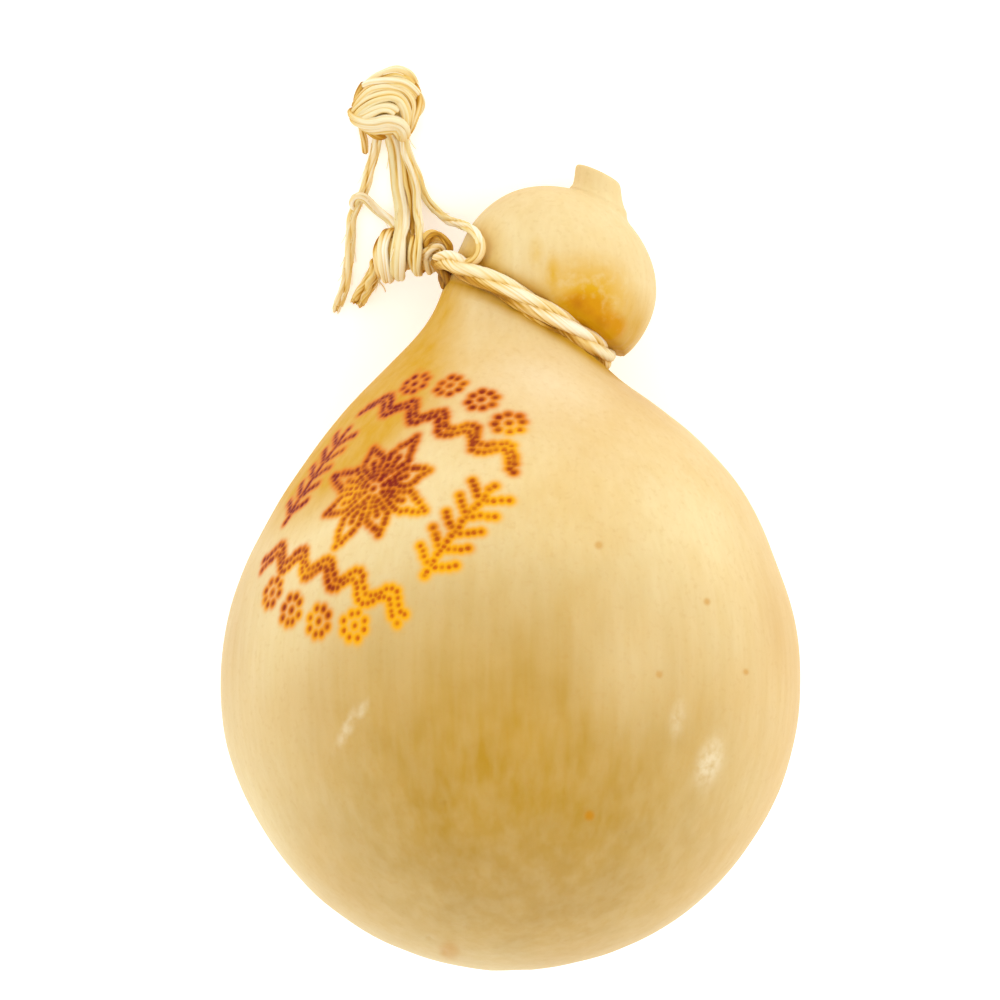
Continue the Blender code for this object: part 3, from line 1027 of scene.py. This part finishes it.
rows = [np.zeros((1, 2))]
for number in range(PETALS):
    rows += petal(number * 2 * math.pi / PETALS, 2.6, PETAL_TIPS[number % 2], PETAL_WIDTH)
for side in (1, -1):
    rows += sprig(side * 23.5, -12.5, 12.5)
    rows += [wave(side * 19.6, 24.0, 1.8, 5), wave(side * 21.6, 23.0, 1.8, 5)]
    rows += [small_flower(x, side * (30.4 if abs(x) < 10 else 28.0)) for x in (-14.2, -4.8, 4.8, 14.2)]
mark_dots = np.vstack(rows)
dice = np.random.default_rng(8)
mark_dots = mark_dots + dice.normal(0, DOT_JITTER, mark_dots.shape)
dot_burn = dice.uniform(0.5, 1.0, len(mark_dots))
print("burnt mark:", len(mark_dots), "dots")

# %% [markdown]
# The iron is flat and the shoulder is round. So the design lies on a flat plane that touches the
# shoulder, and a point of the rind takes the place on that plane that it faces. An unwrapped map
# would wrap the dots round the body, and would need a seam.

# %% Where the mark lies on the rind
MARK_DEPTH = 25
MARK_TILT = 6.0
SHOULDER_SHARE = 0.94


def mark_axes():
    """The mark's middle on the body, the way out of it, its right and its up."""
    u, v = MARK_PLACE
    w = math.sqrt((BODY_RADIUS * SHOULDER_SHARE) ** 2 - u**2 - v**2)
    out = unit(np.array([u, v - MARK_TILT, w]))
    up = np.array([math.sin(MARK_LEAN), math.cos(MARK_LEAN), 0])
    up = unit(up - out * (up @ out))
    return np.array([u, v, w]), out, np.cross(up, out), up


def mark_coordinates(points):
    """Millimetres across and up the mark, and how far off its plane, for upright points."""
    middle, out, right, up = mark_axes()
    offset = points - middle
    return np.column_stack([offset @ right, offset @ up]), offset @ out


print("mark's middle, upright mm:", mark_axes()[0].round(1))

# %% [markdown]
# The small marks are the ones that handling leaves: pits from air in the curd, brown spots, and
# pale scuffs where the rind is rubbed. Each face that one of them touches is cut into 25 faces.

# %% Subdivide where marks go
# u and v of the middle, size.
PITS = (
    (-14.4, -28.4, 0.7),
    (-9.7, -54.7, 0.8),
    (-17.8, -57.2, 0.7),
    (-14.9, -60.5, 0.8),
    (24.0, -34.5, 0.4),
)
# u and v of the middle, size, strength.
SPOTS = (
    (16.2, -30.8, 1.1, 1.0),
    (18.2, 25.7, 0.9, 0.55),
    (30.8, -1.4, 0.8, 0.5),
    (50.0, -0.2, 0.7, 0.6),
    (41.4, 14.4, 0.8, 0.6),
    (-13.5, -60.0, 2.2, 0.5),
)
# u and v of the middle, half width, half height, lean in degrees, strength.
SCUFFS = (
    (41.9, -19.4, 2.6, 5.2, 18, 0.55),
    (34.7, -10.4, 1.6, 3.6, 8, 0.3),
    (-34.5, -12.5, 1.2, 4.8, 28, 0.4),
    (-31.5, -9.0, 1.0, 2.5, 30, 0.35),
)
FINE_CUTS = 4
SMALL_REACH = 3.2
SCUFF_REACH = 6.5


def points_near(points, places, reach):
    """True for the shown side's points that are within reach of one of the places."""
    near = np.zeros(len(points), bool)
    for u, v in places:
        near |= (np.hypot(points[:, 0] - u, points[:, 1] - v) < reach) & (points[:, 2] > 0)
    return near


def subdivide(obj, chosen, cuts):
    """Cuts the faces between the chosen points into smaller ones."""
    select_points(obj, chosen)
    bpy.ops.object.mode_set(mode="EDIT")
    bpy.ops.mesh.select_mode(type="FACE")
    bpy.ops.mesh.subdivide(number_cuts=cuts, smoothness=0)
    bpy.ops.object.mode_set(mode="OBJECT")


points = places_of(cheese.data) / MM
flat, height = mark_coordinates(points)
in_mark = (np.hypot(flat[:, 0] / MARK_REACH[0], flat[:, 1] / MARK_REACH[1]) < 1) & (height > -MARK_DEPTH)
small = points_near(points, [mark[:2] for mark in (*PITS, *SPOTS)], SMALL_REACH)
small |= points_near(points, [mark[:2] for mark in SCUFFS], SCUFF_REACH)
subdivide(cheese, in_mark | small, FINE_CUTS)
print("cheese with fine places:", len(cheese.data.polygons), "faces")

# %% [markdown]
# ## Sculpting
#
# This step moves points along the surface's own normals, as a sculpting brush does, but by a
# formula, so that each run gives the same cheese. It starts with the slow unevenness of hand-shaped
# curd, fine streaks along the pull and one faint crease. Small pits and the shallow burnt dots come
# next.

# %% Sculpt the rind


def noise_at(points, size, seed):
    """Soft noise between about -1 and 1, with features of `size` millimetres."""
    scaled = points / size + seed
    return np.array([noise.noise(Vector(place)) for place in scaled])


def tie_coordinates(points):
    """How far each upright point is along the tie's axis and out from it."""
    axis = np.array([math.sin(TIE_LEAN), math.cos(TIE_LEAN), 0])
    offset = points - np.array([*TIE_CENTRE, 0])
    height = offset @ axis
    spoke = offset - height[:, None] * axis
    return height, np.linalg.norm(spoke, axis=1), spoke


def normals_of(mesh):
    """The way out of a mesh at each of its points."""
    normals = np.empty(len(mesh.vertices) * 3, np.float32)
    mesh.vertex_normals.foreach_get("vector", normals)
    return normals.reshape(-1, 3).astype(float)


points = places_of(cheese.data) / MM
normals = normals_of(cheese.data)
lift = 0.55 * noise_at(points, 34, 3.1) + 0.14 * noise_at(points, 11, 7.7)
lift += 0.07 * noise_at(points * [1, 0.16, 1], 5.0, 1.3)

# The crease goes down the left of the body.
crease = np.hypot((points[:, 0] + 40.5 - 0.1 * points[:, 1]) / 1.6, (points[:, 1] + 18) / 16)
lift -= 0.3 * np.exp(-(crease**2)) * (points[:, 2] > 0)

for u, v, size in PITS:
    far = np.hypot(points[:, 0] - u, points[:, 1] - v) / size
    lift -= 0.55 * size * np.exp(-(far**2)) * (points[:, 2] > 0)

flat, height = mark_coordinates(points)
on_mark = np.flatnonzero((np.abs(flat) < MARK_REACH).all(axis=1) & (height > -MARK_DEPTH))
dot_distance = np.full(len(points), 99.0)
burn = np.zeros(len(points))
for index in on_mark:
    gaps = np.hypot(*(mark_dots - flat[index]).T)
    dot_distance[index] = gaps.min()
    burn[index] = dot_burn[gaps.argmin()]
lift -= DOT_DEPTH * burn * np.exp(-((dot_distance / DOT_SIZE) ** 2))
points = points + normals * lift[:, None]
print("sculpted from", round(lift.min(), 2), "to", round(lift.max(), 2), "mm")

# %% [markdown]
# The tie presses a round groove into the neck, and the curd that it squeezes out stands up beside
# it in fine puckers. A point near the tie is moved straight in or out from the tie's own axis.

# %% Press in the tie
NECK_REACH = 30
GROOVE_SHARE = 0.92
PUCKER_DEPTH = 0.16
PUCKERS = 31

tie_height, tie_radius, spoke = tie_coordinates(points)
rope_radius = ROPE_DIAMETER / 2
inside = np.clip(1 - (tie_height / rope_radius) ** 2, 0, 1)
groove = ROPE_CENTRE_RADIUS - rope_radius * np.sqrt(inside) * GROOVE_SHARE
beside = np.abs(tie_height) < rope_radius
step_out = np.clip((np.abs(tie_height) / rope_radius - 0.4) / 0.6, 0, 1)
lip = ROPE_CENTRE_RADIUS + (tie_radius - ROPE_CENTRE_RADIUS) * step_out**2
pressed = np.where(tie_radius > ROPE_CENTRE_RADIUS, lip, np.minimum(tie_radius, groove))
on_neck = tie_radius < NECK_REACH
tight = np.where(beside & on_neck, pressed, tie_radius)
turn_round = np.arctan2(points[:, 2], spoke[:, 0])
pucker = PUCKER_DEPTH * np.sin(PUCKERS * turn_round + 2.0 * np.sin(3 * turn_round))
pucker = pucker * np.exp(-(((np.abs(tie_height) - rope_radius - 0.8) / 3.2) ** 2)) * on_neck
points = points + spoke / np.maximum(tie_radius, 1)[:, None] * (tight - tie_radius + pucker)[:, None]
upright = points.copy()
cheese.data.vertices.foreach_set("co", np.ravel(points * MM).astype(np.float32))
print("groove:", int((beside & on_neck).sum()), "points pressed in")

# %% [markdown]
# The finished form is laid down by the matrix from above. What would be below the table is
# pressed flat, as the soft belly of a real cheese is after a few days on a shelf.

# %% Lay the cheese down
cheese.matrix_world = lay_down
deselect_all()
cheese.select_set(True)
bpy.context.view_layer.objects.active = cheese
bpy.ops.object.transform_apply(location=True, rotation=True, scale=True)
points = places_of(cheese.data)
points[:, 2] = np.maximum(points[:, 2], 0)
cheese.data.vertices.foreach_set("co", np.ravel(points).astype(np.float32))
cheese.data.update()
cheese.data.shade_smooth()
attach(cheese, "root")
print("cheese rests on", int((points[:, 2] == 0).sum()), "points")

# %% [markdown]
# ## What the rind remembers
#
# The material needs to know where the marks are. Each kind of mark becomes a layer of numbers on
# the mesh, one for each point: how burnt it is, how scorched, how close to the tie, and so on.

# %% Store the marks
# The iron was pressed harder at the mark's left and top.
harder = (7 - flat[:, 0] + 0.45 * flat[:, 1]) / 16
press = 0.5 + 0.5 * np.tanh(harder + 1.9 * noise_at(upright, 8, 4.4))
char_size = DOT_SIZE * (0.85 + 0.35 * press)
# The tie's painted shadow: a line along each edge of the tie, strongest on the body's side.
body_side_shadow = np.exp(-(((tie_height + rope_radius * 1.1) / 1.5) ** 2))
head_side_shadow = np.exp(-(((tie_height - rope_radius) / 1.6) ** 2))
layers = {
    "char": np.minimum(1.5 * np.exp(-((dot_distance / char_size) ** 3)) * burn, 1),
    "scorch": np.minimum(1.25 * np.exp(-((dot_distance / SCORCH_SIZE) ** 3)), 1),
    "press": press,
    "tie": np.maximum(body_side_shadow, 0.7 * head_side_shadow) * on_neck,
}
spots = np.zeros(len(upright))
for u, v, size, strength in SPOTS:
    far = np.hypot(upright[:, 0] - u, upright[:, 1] - v) / size
    spots = np.maximum(spots, strength * np.exp(-(far**4)) * (upright[:, 2] > 0))
layers["spots"] = spots
scuffs = np.zeros(len(upright))
for u, v, wide, tall, lean, strength in SCUFFS:
    lean = math.radians(lean)
    x, y = upright[:, 0] - u, upright[:, 1] - v
    over = (x * math.cos(lean) - y * math.sin(lean)) / wide
    along = (x * math.sin(lean) + y * math.cos(lean)) / tall
    faint = strength * np.exp(-(np.hypot(over, along) ** 3)) * (upright[:, 2] > 0)
    scuffs = np.maximum(scuffs, faint)
layers["scuffs"] = scuffs
for name, values in layers.items():
    add_layer(cheese.data, name, values)
print("layers:", ", ".join(layers))

# %% [markdown]
# ## Colours and nodes
#
# Colours are written as sRGB hex, as a colour picker shows them, and one function turns them into
# the linear numbers that Blender works with. Another adds a node with its settings and its inputs.

# %% Helpers for materials


def colour(code):
    """Linear colour of an sRGB hex code."""
    parts = [int(code[start : start + 2], 16) / 255 for start in (1, 3, 5)]
    linear = [part / 12.92 if part <= 0.04045 else ((part + 0.055) / 1.055) ** 2.4 for part in parts]
    return (*linear, 1.0)


def add_node(material, kind, settings=None, inputs=None, stops=None):
    """Adds a node. Inputs are values or other nodes' outputs, and stops fill a colour ramp."""
    tree = material.node_tree
    node = tree.nodes.new(kind)
    for name, value in (settings or {}).items():
        setattr(node, name, value)
    for name, value in (inputs or {}).items():
        if isinstance(value, bpy.types.NodeSocket):
            tree.links.new(value, node.inputs[name])
        else:
            node.inputs[name].default_value = value
    for number, (place, shade) in enumerate(stops or ()):
        elements = node.color_ramp.elements
        element = elements[number] if number < 2 else elements.new(place)
        element.position = place
        element.color = shade
    return node


def new_material(name, **constants):
    """A material with one Principled shader whose constant inputs are set."""
    made = bpy.data.materials.new(name)
    made.use_nodes = True
    shader = made.node_tree.nodes["Principled BSDF"]
    for key, value in constants.items():
        shader.inputs[key.replace("_", " ")].default_value = value
    return made, shader


def per_mm(size):
    """The scale of a pattern whose features are `size` millimetres."""
    return 1 / (size * MM)


print("straw in linear numbers:", [round(part, 3) for part in colour("#E5CF99")])

# %% [markdown]
# ## The rind
#
# The rind of a young caciocavallo is the cheese's own dried surface, rubbed smooth in brine. It is
# a little waxy, so light goes in, scatters and comes out warmer, and only a weak, broad sheen lies
# on top. Its colour is straw, deeper gold in the middle of the belly and on the left shoulder, with
# fine streaks along the way the curd was stretched. Part of the belly's deeper gold is painted
# shade, and the paler shoulder and upper right are partly painted light. A painted picture would
# fit one cheese only, so the colour is built from soft balls of tone placed on the upright cheese,
# with noise between.

# %% Rind material
rind, rind_shader = new_material(
    "brined_waxy_rind",
    Roughness=0.52,
    IOR=1.45,
    Specular_IOR_Level=0.12,
    Subsurface_Weight=0.05,
    Subsurface_Radius=(1.0, 0.6, 0.25),
    Subsurface_Scale=0.002,
)


def layer(name):
    """What the rind remembers under this name."""
    return add_node(rind, "ShaderNodeAttribute", {"attribute_name": name}).outputs["Fac"]


def blend(amount, below, above):
    """A colour mixed over another by an amount."""
    mixed = add_node(rind, "ShaderNodeMix", {"data_type": "RGBA"}, {0: amount, 6: below, 7: above})
    return mixed.outputs[2]


place = add_node(rind, "ShaderNodeTexCoord").outputs["Object"]
back = lay_down.to_3x3().inverted()
to_upright = add_node(
    rind,
    "ShaderNodeMapping",
    inputs={
        "Vector": place,
        "Rotation": (DIP, 0, 0),
        "Location": -(back @ lay_down.translation),
    },
).outputs["Vector"]
along_curd = add_node(
    rind, "ShaderNodeMapping", inputs={"Vector": to_upright, "Scale": (1, 0.1, 1)}
).outputs["Vector"]


def pattern(vector, size, detail=3.0, low=0.35, high=0.65):
    """Noise with features of a size, spread over 0 to 1."""
    cloud = add_node(
        rind, "ShaderNodeTexNoise", inputs={"Vector": vector, "Scale": per_mm(size), "Detail": detail}
    )
    spread = add_node(
        rind,
        "ShaderNodeMapRange",
        inputs={"Value": cloud.outputs["Fac"], "From Min": low, "From Max": high},
    )
    return spread.outputs["Result"]


def soft_ball(centre, size):
    """1 in the middle of a ball of this size, in upright millimetres, falling to 0 at its edge."""
    moved = add_node(
        rind,
        "ShaderNodeMapping",
        inputs={
            "Vector": to_upright,
            "Location": [-middle / reach for middle, reach in zip(centre, size)],
            "Scale": [per_mm(reach) for reach in size],
        },
    )
    ball = add_node(
        rind, "ShaderNodeTexGradient", {"gradient_type": "SPHERICAL"}, {"Vector": moved.outputs["Vector"]}
    )
    return ball.outputs["Fac"]


def times(value, other):
    """The product of a node's output and a number or another output."""
    return add_node(rind, "ShaderNodeMath", {"operation": "MULTIPLY"}, {0: value, 1: other}).outputs["Value"]


print("rind nodes so far:", len(rind.node_tree.nodes))

# %% [markdown]
# The colour is layered as a painter would: the straw ground, wide soft tones, which also paint
# shade low on the belly and light on the shoulder and upper right, then blotches 9 mm across, pale
# and brown streaks 3 and 1.4 mm wide, and specks of 1.3 mm. Whey stains go over those, in patches
# with ragged edges. What the rind remembers comes last: the tie's painted shadow in a line along
# its edges, spots, scuffs, and the mark, orange where it is scorched and red-brown where it is
# burnt.

# %% Colour the rind
# Where the rind is deeper or paler, partly its own colour and partly painted shade low on the
# belly and painted light higher up: middle and size in upright millimetres, strength, colour.
TONES_AND_PAINTED_LIGHT = (
    ((2, -34, 58), (72, 74, 70), 1.3, "#AA8430"),
    ((0, -14, 62), (48, 42, 40), 0.85, "#B88A14"),
    ((-34, 58, 14), (28, 48, 36), 3.0, "#CC9800"),
    ((-16, 80, 4), (14, 14, 16), 2.0, "#CC9A0C"),
    ((26, 76, 10), (13, 13, 14), 1.4, "#CFA23C"),
    ((-6, 93, 12), (10, 11, 12), 1.2, "#D5A83C"),
    ((12, 90, 22), (17, 14, 20), 0.35, "#DDB464"),
    ((11, 34, 53), (20, 16, 20), 0.6, "#DBB66C"),
    ((58, 8, 27), (22, 38, 30), 0.9, "#CEA868"),
    ((8, 62, 31), (18, 16, 20), 0.7, "#EBD8B2"),
    ((26, 2, 60), (18, 22, 20), 0.5, "#E6D09E"),
    ((2, -47, 47), (34, 18, 34), 0.5, "#BA9A60"),
    ((28, 62, 18), (16, 18, 20), 0.7, "#CFA96A"),
    ((-60, 8, 20), (16, 40, 30), 0.7, "#CDAE78"),
)
# Where whey ran out under the tie and dried in streaks.
STAINS = (
    ((17.5, 84, 21), (15, 11, 14), 1.2, "#D8A414"),
    ((16, 81, 20), (8, 4.8, 9), 2.4, "#D09000"),
    ((21, 77.5, 15), (6.5, 4.5, 9), 2.4, "#D09000"),
    ((9.2, 88.6, 23), (2.0, 6, 6), 0.8, "#D8A410"),
    ((5.6, 93.2, 22), (2.2, 5, 6), 0.5, "#D8A828"),
    ((14.6, 81.6, 21), (3.2, 3.0, 5), 1.2, "#BC7400"),
    ((16.6, 80.2, 20), (2.6, 2.0, 5), 1.0, "#C07800"),
    ((19.4, 78.2, 17), (3.2, 2.2, 6), 1.2, "#BC7400"),
)

tone = blend(pattern(to_upright, 45, 2.0), colour("#E5CF99"), colour("#DCBC80"))
for middle, size, strength, shade in TONES_AND_PAINTED_LIGHT:
    tone = blend(times(soft_ball(middle, size), strength), tone, colour(shade))
patchy = pattern(to_upright, 2.2, 4.0, 0.05, 0.55)
tone = blend(times(pattern(to_upright, 9), 0.16), tone, colour("#DDB870"))
tone = blend(times(pattern(along_curd, 3.0, 2.0), 0.08), tone, colour("#F3E3BC"))
tone = blend(times(pattern(along_curd, 1.4, 2.0), 0.07), tone, colour("#C08C3E"))
tone = blend(times(pattern(to_upright, 1.3, 2.0, 0.55, 0.75), 0.12), tone, colour("#B8802E"))
for middle, size, strength, shade in STAINS:
    tone = blend(times(times(soft_ball(middle, size), strength), patchy), tone, colour(shade))
# The tie's painted shadow along its edges.
tone = blend(times(layer("tie"), 0.95), tone, colour("#C08E00"))
tone = blend(times(layer("spots"), 0.9), tone, colour("#C08000"))
tone = blend(times(layer("scuffs"), pattern(to_upright, 2.0, 3.0, 0.2, 0.6)), tone, colour("#EFE2C0"))
scorch_colour = blend(layer("press"), colour("#ECA800"), colour("#D46C00"))
char_colour = blend(layer("press"), colour("#C46000"), colour("#7A0C00"))
tone = blend(layer("scorch"), tone, scorch_colour)
tone = blend(layer("char"), tone, char_colour)
rind.node_tree.links.new(tone, rind_shader.inputs["Base Color"])
print("tones and stains:", len(TONES_AND_PAINTED_LIGHT), "and", len(STAINS))

# %% [markdown]
# A bump gives what is too shallow to sculpt: streaks about 0.1 mm high along the curd, and the
# grain of the dried skin. The grain of a real rind is finer than a millimetre's tenth, so it is
# drawn as coarse as it needs to show.

# %% Give the rind its relief
relief = add_node(
    rind,
    "ShaderNodeBump",
    inputs={"Height": pattern(along_curd, 2.2, 3.0), "Strength": 0.2, "Distance": 0.12 * MM},
)
grain = add_node(
    rind,
    "ShaderNodeBump",
    inputs={
        "Height": pattern(to_upright, 0.6, 3.0),
        "Strength": 0.25,
        "Distance": 0.05 * MM,
        "Normal": relief.outputs["Normal"],
    },
)
rind.node_tree.links.new(grain.outputs["Normal"], rind_shader.inputs["Normal"])
cheese.data.materials.append(rind)
print("rind nodes:", len(rind.node_tree.nodes))

# %% [markdown]
# ## Natural fibre twine
#
# The twine is undyed plant fibre, pale cream on the outside of its yarns. Between the yarns, deep
# in the knots and wherever a strand was given less light, it is painted ochre to dark brown, as
# painted shade. Fibre is matt, and its streaks run along each yarn, so the pattern reads the
# straightened place that every point remembers. Real fibres are thinner than the streaks here,
# which are 0.22 mm wide so that they show.

# %% Twine material
STREAK_WIDTH = 0.22
STREAK_LENGTH = 5.0

twine, twine_shader = new_material(
    "undyed_plant_fibre",
    Roughness=0.85,
    IOR=1.5,
    Subsurface_Weight=0.06,
    Subsurface_Radius=(1.0, 0.7, 0.35),
    Subsurface_Scale=0.0015,
)
straight, outside, tint = [
    add_node(twine, "ShaderNodeAttribute", {"attribute_name": name}).outputs[kind]
    for name, kind in (("straight", "Vector"), ("outside", "Fac"), ("tint", "Fac"))
]
fibres = add_node(
    twine,
    "ShaderNodeMapping",
    inputs={
        "Vector": straight,
        "Scale": (per_mm(STREAK_WIDTH), per_mm(STREAK_WIDTH), per_mm(STREAK_LENGTH)),
    },
)
streaks = add_node(
    twine, "ShaderNodeTexNoise", inputs={"Vector": fibres.outputs["Vector"], "Scale": 1.0, "Detail": 2.0}
).outputs["Fac"]
pale = add_node(
    twine,
    "ShaderNodeValToRGB",
    inputs={"Fac": tint},
    stops=((0.0, colour("#EEDEA6")), (0.5, colour("#F6EAC4")), (1.0, colour("#FCF5DE"))),
)
# Painted shade: the less light a point has, the more ochre to dark brown it is painted.
shade_share = add_node(
    twine,
    "ShaderNodeMapRange",
    inputs={"Value": outside, "From Min": 0.45, "From Max": 0.9, "To Min": 1.0, "To Max": 0.0},
)
shade_colour = add_node(
    twine,
    "ShaderNodeValToRGB",
    inputs={"Fac": outside},
    stops=((0.2, colour("#6A3C00")), (0.4, colour("#B87E00")), (0.62, colour("#E8B61C"))),
)
deep = add_node(
    twine,
    "ShaderNodeMix",
    {"data_type": "RGBA"},
    {0: shade_share.outputs["Result"], 6: pale.outputs["Color"], 7: shade_colour.outputs["Color"]},
)
streaked = add_node(
    twine,
    "ShaderNodeMapRange",
    inputs={"Value": streaks, "From Min": 0.5, "From Max": 0.8, "To Min": 0.0, "To Max": 0.35},
)
fibre_colour = add_node(
    twine,
    "ShaderNodeMix",
    {"data_type": "RGBA"},
    {0: streaked.outputs["Result"], 6: deep.outputs[2], 7: colour("#DDB868")},
)
twine.node_tree.links.new(fibre_colour.outputs[2], twine_shader.inputs["Base Color"])

# The same streaks stand up a little, as fibres do.
ridges = add_node(
    twine, "ShaderNodeBump", inputs={"Height": streaks, "Strength": 0.6, "Distance": 0.15 * MM}
)
twine.node_tree.links.new(ridges.outputs["Normal"], twine_shader.inputs["Normal"])
free_strands = (long_tail, side_strand)
held_strands = (main_strand, front_strand, cross_strand, short_tail)
for piece in (*free_strands, *held_strands, top_knot, neck_knot, neck_loop):
    piece.data.materials.append(twine)
print("twine nodes:", len(twine.node_tree.nodes))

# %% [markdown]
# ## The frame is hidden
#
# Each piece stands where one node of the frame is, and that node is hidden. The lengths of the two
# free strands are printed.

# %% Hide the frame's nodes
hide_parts("cheese")
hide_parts("neck_loop")
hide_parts("neck_knot")
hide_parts("top_knot")
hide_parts("main_strand")
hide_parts("front_strand")
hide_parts("cross_strand")
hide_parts("short_tail")
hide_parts("side_strand")
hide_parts("long_tail")
print("cords, mm:", [round(line_length(line) / MM, 1) for line in (side_line, tail_line)])

# %% [markdown]
# ## Table and light
#
# Food is often shown on a light table, whose white board glows a little from below, so that no
# shadow falls behind the piece. The table here is such a board, matt and faintly glowing. A plain
# white board in the same light would come out grey beside the cheese.

# %% Table
BOARD_SIZE = 6
BOARD_GLOW = 0.32

deselect_all()
bpy.ops.mesh.primitive_plane_add(size=BOARD_SIZE)
table = bpy.context.object
table.name = "pale_table"
paper, paper_shader = new_material("matt_white_board", Roughness=0.9)
paper_shader.inputs["Base Color"].default_value = colour("#FAFAFA")
paper_shader.inputs["Emission Color"].default_value = (1, 1, 1, 1)
paper_shader.inputs["Emission Strength"].default_value = BOARD_GLOW
table.data.materials.append(paper)
print("table:", BOARD_SIZE, "m across")

# %% [markdown]
# A bright, even surround lights the cheese as a light tent would, and keeps every shadow soft. Two
# large soft lamps give the gentle shape: one stands above the head's end, and a weaker one low on
# the right. View transform Standard leaves the colours as they are, where a filmic one would dull
# the straw and the gold.

# %% Lamps and surround
SURROUND = 1.12
AIM = Vector((0, 0, 0.06))

world = bpy.data.worlds.new("light_tent")
bpy.context.scene.world = world
world.use_nodes = True
surround = world.node_tree.nodes["Background"]
surround.inputs["Color"].default_value = (1, 1, 1, 1)
surround.inputs["Strength"].default_value = SURROUND
LAMPS = (
    # name, place, size, power in watts
    ("soft_box_above", (0.35, 0.75, 0.9), 0.8, 1.1),
    ("soft_box_right", (0.95, 0.25, 0.35), 0.6, 0.5),
)
for name, spot, size, power in LAMPS:
    bpy.ops.object.light_add(type="AREA", location=spot)
    lamp = bpy.context.object
    lamp.name = name
    lamp.data.shape = "DISK"
    lamp.data.size = size
    lamp.data.energy = power
    lamp.rotation_euler = (AIM - Vector(spot)).to_track_quat("-Z", "Y").to_euler()
    print(name, "at", spot)
bpy.context.scene.view_settings.view_transform = "Standard"
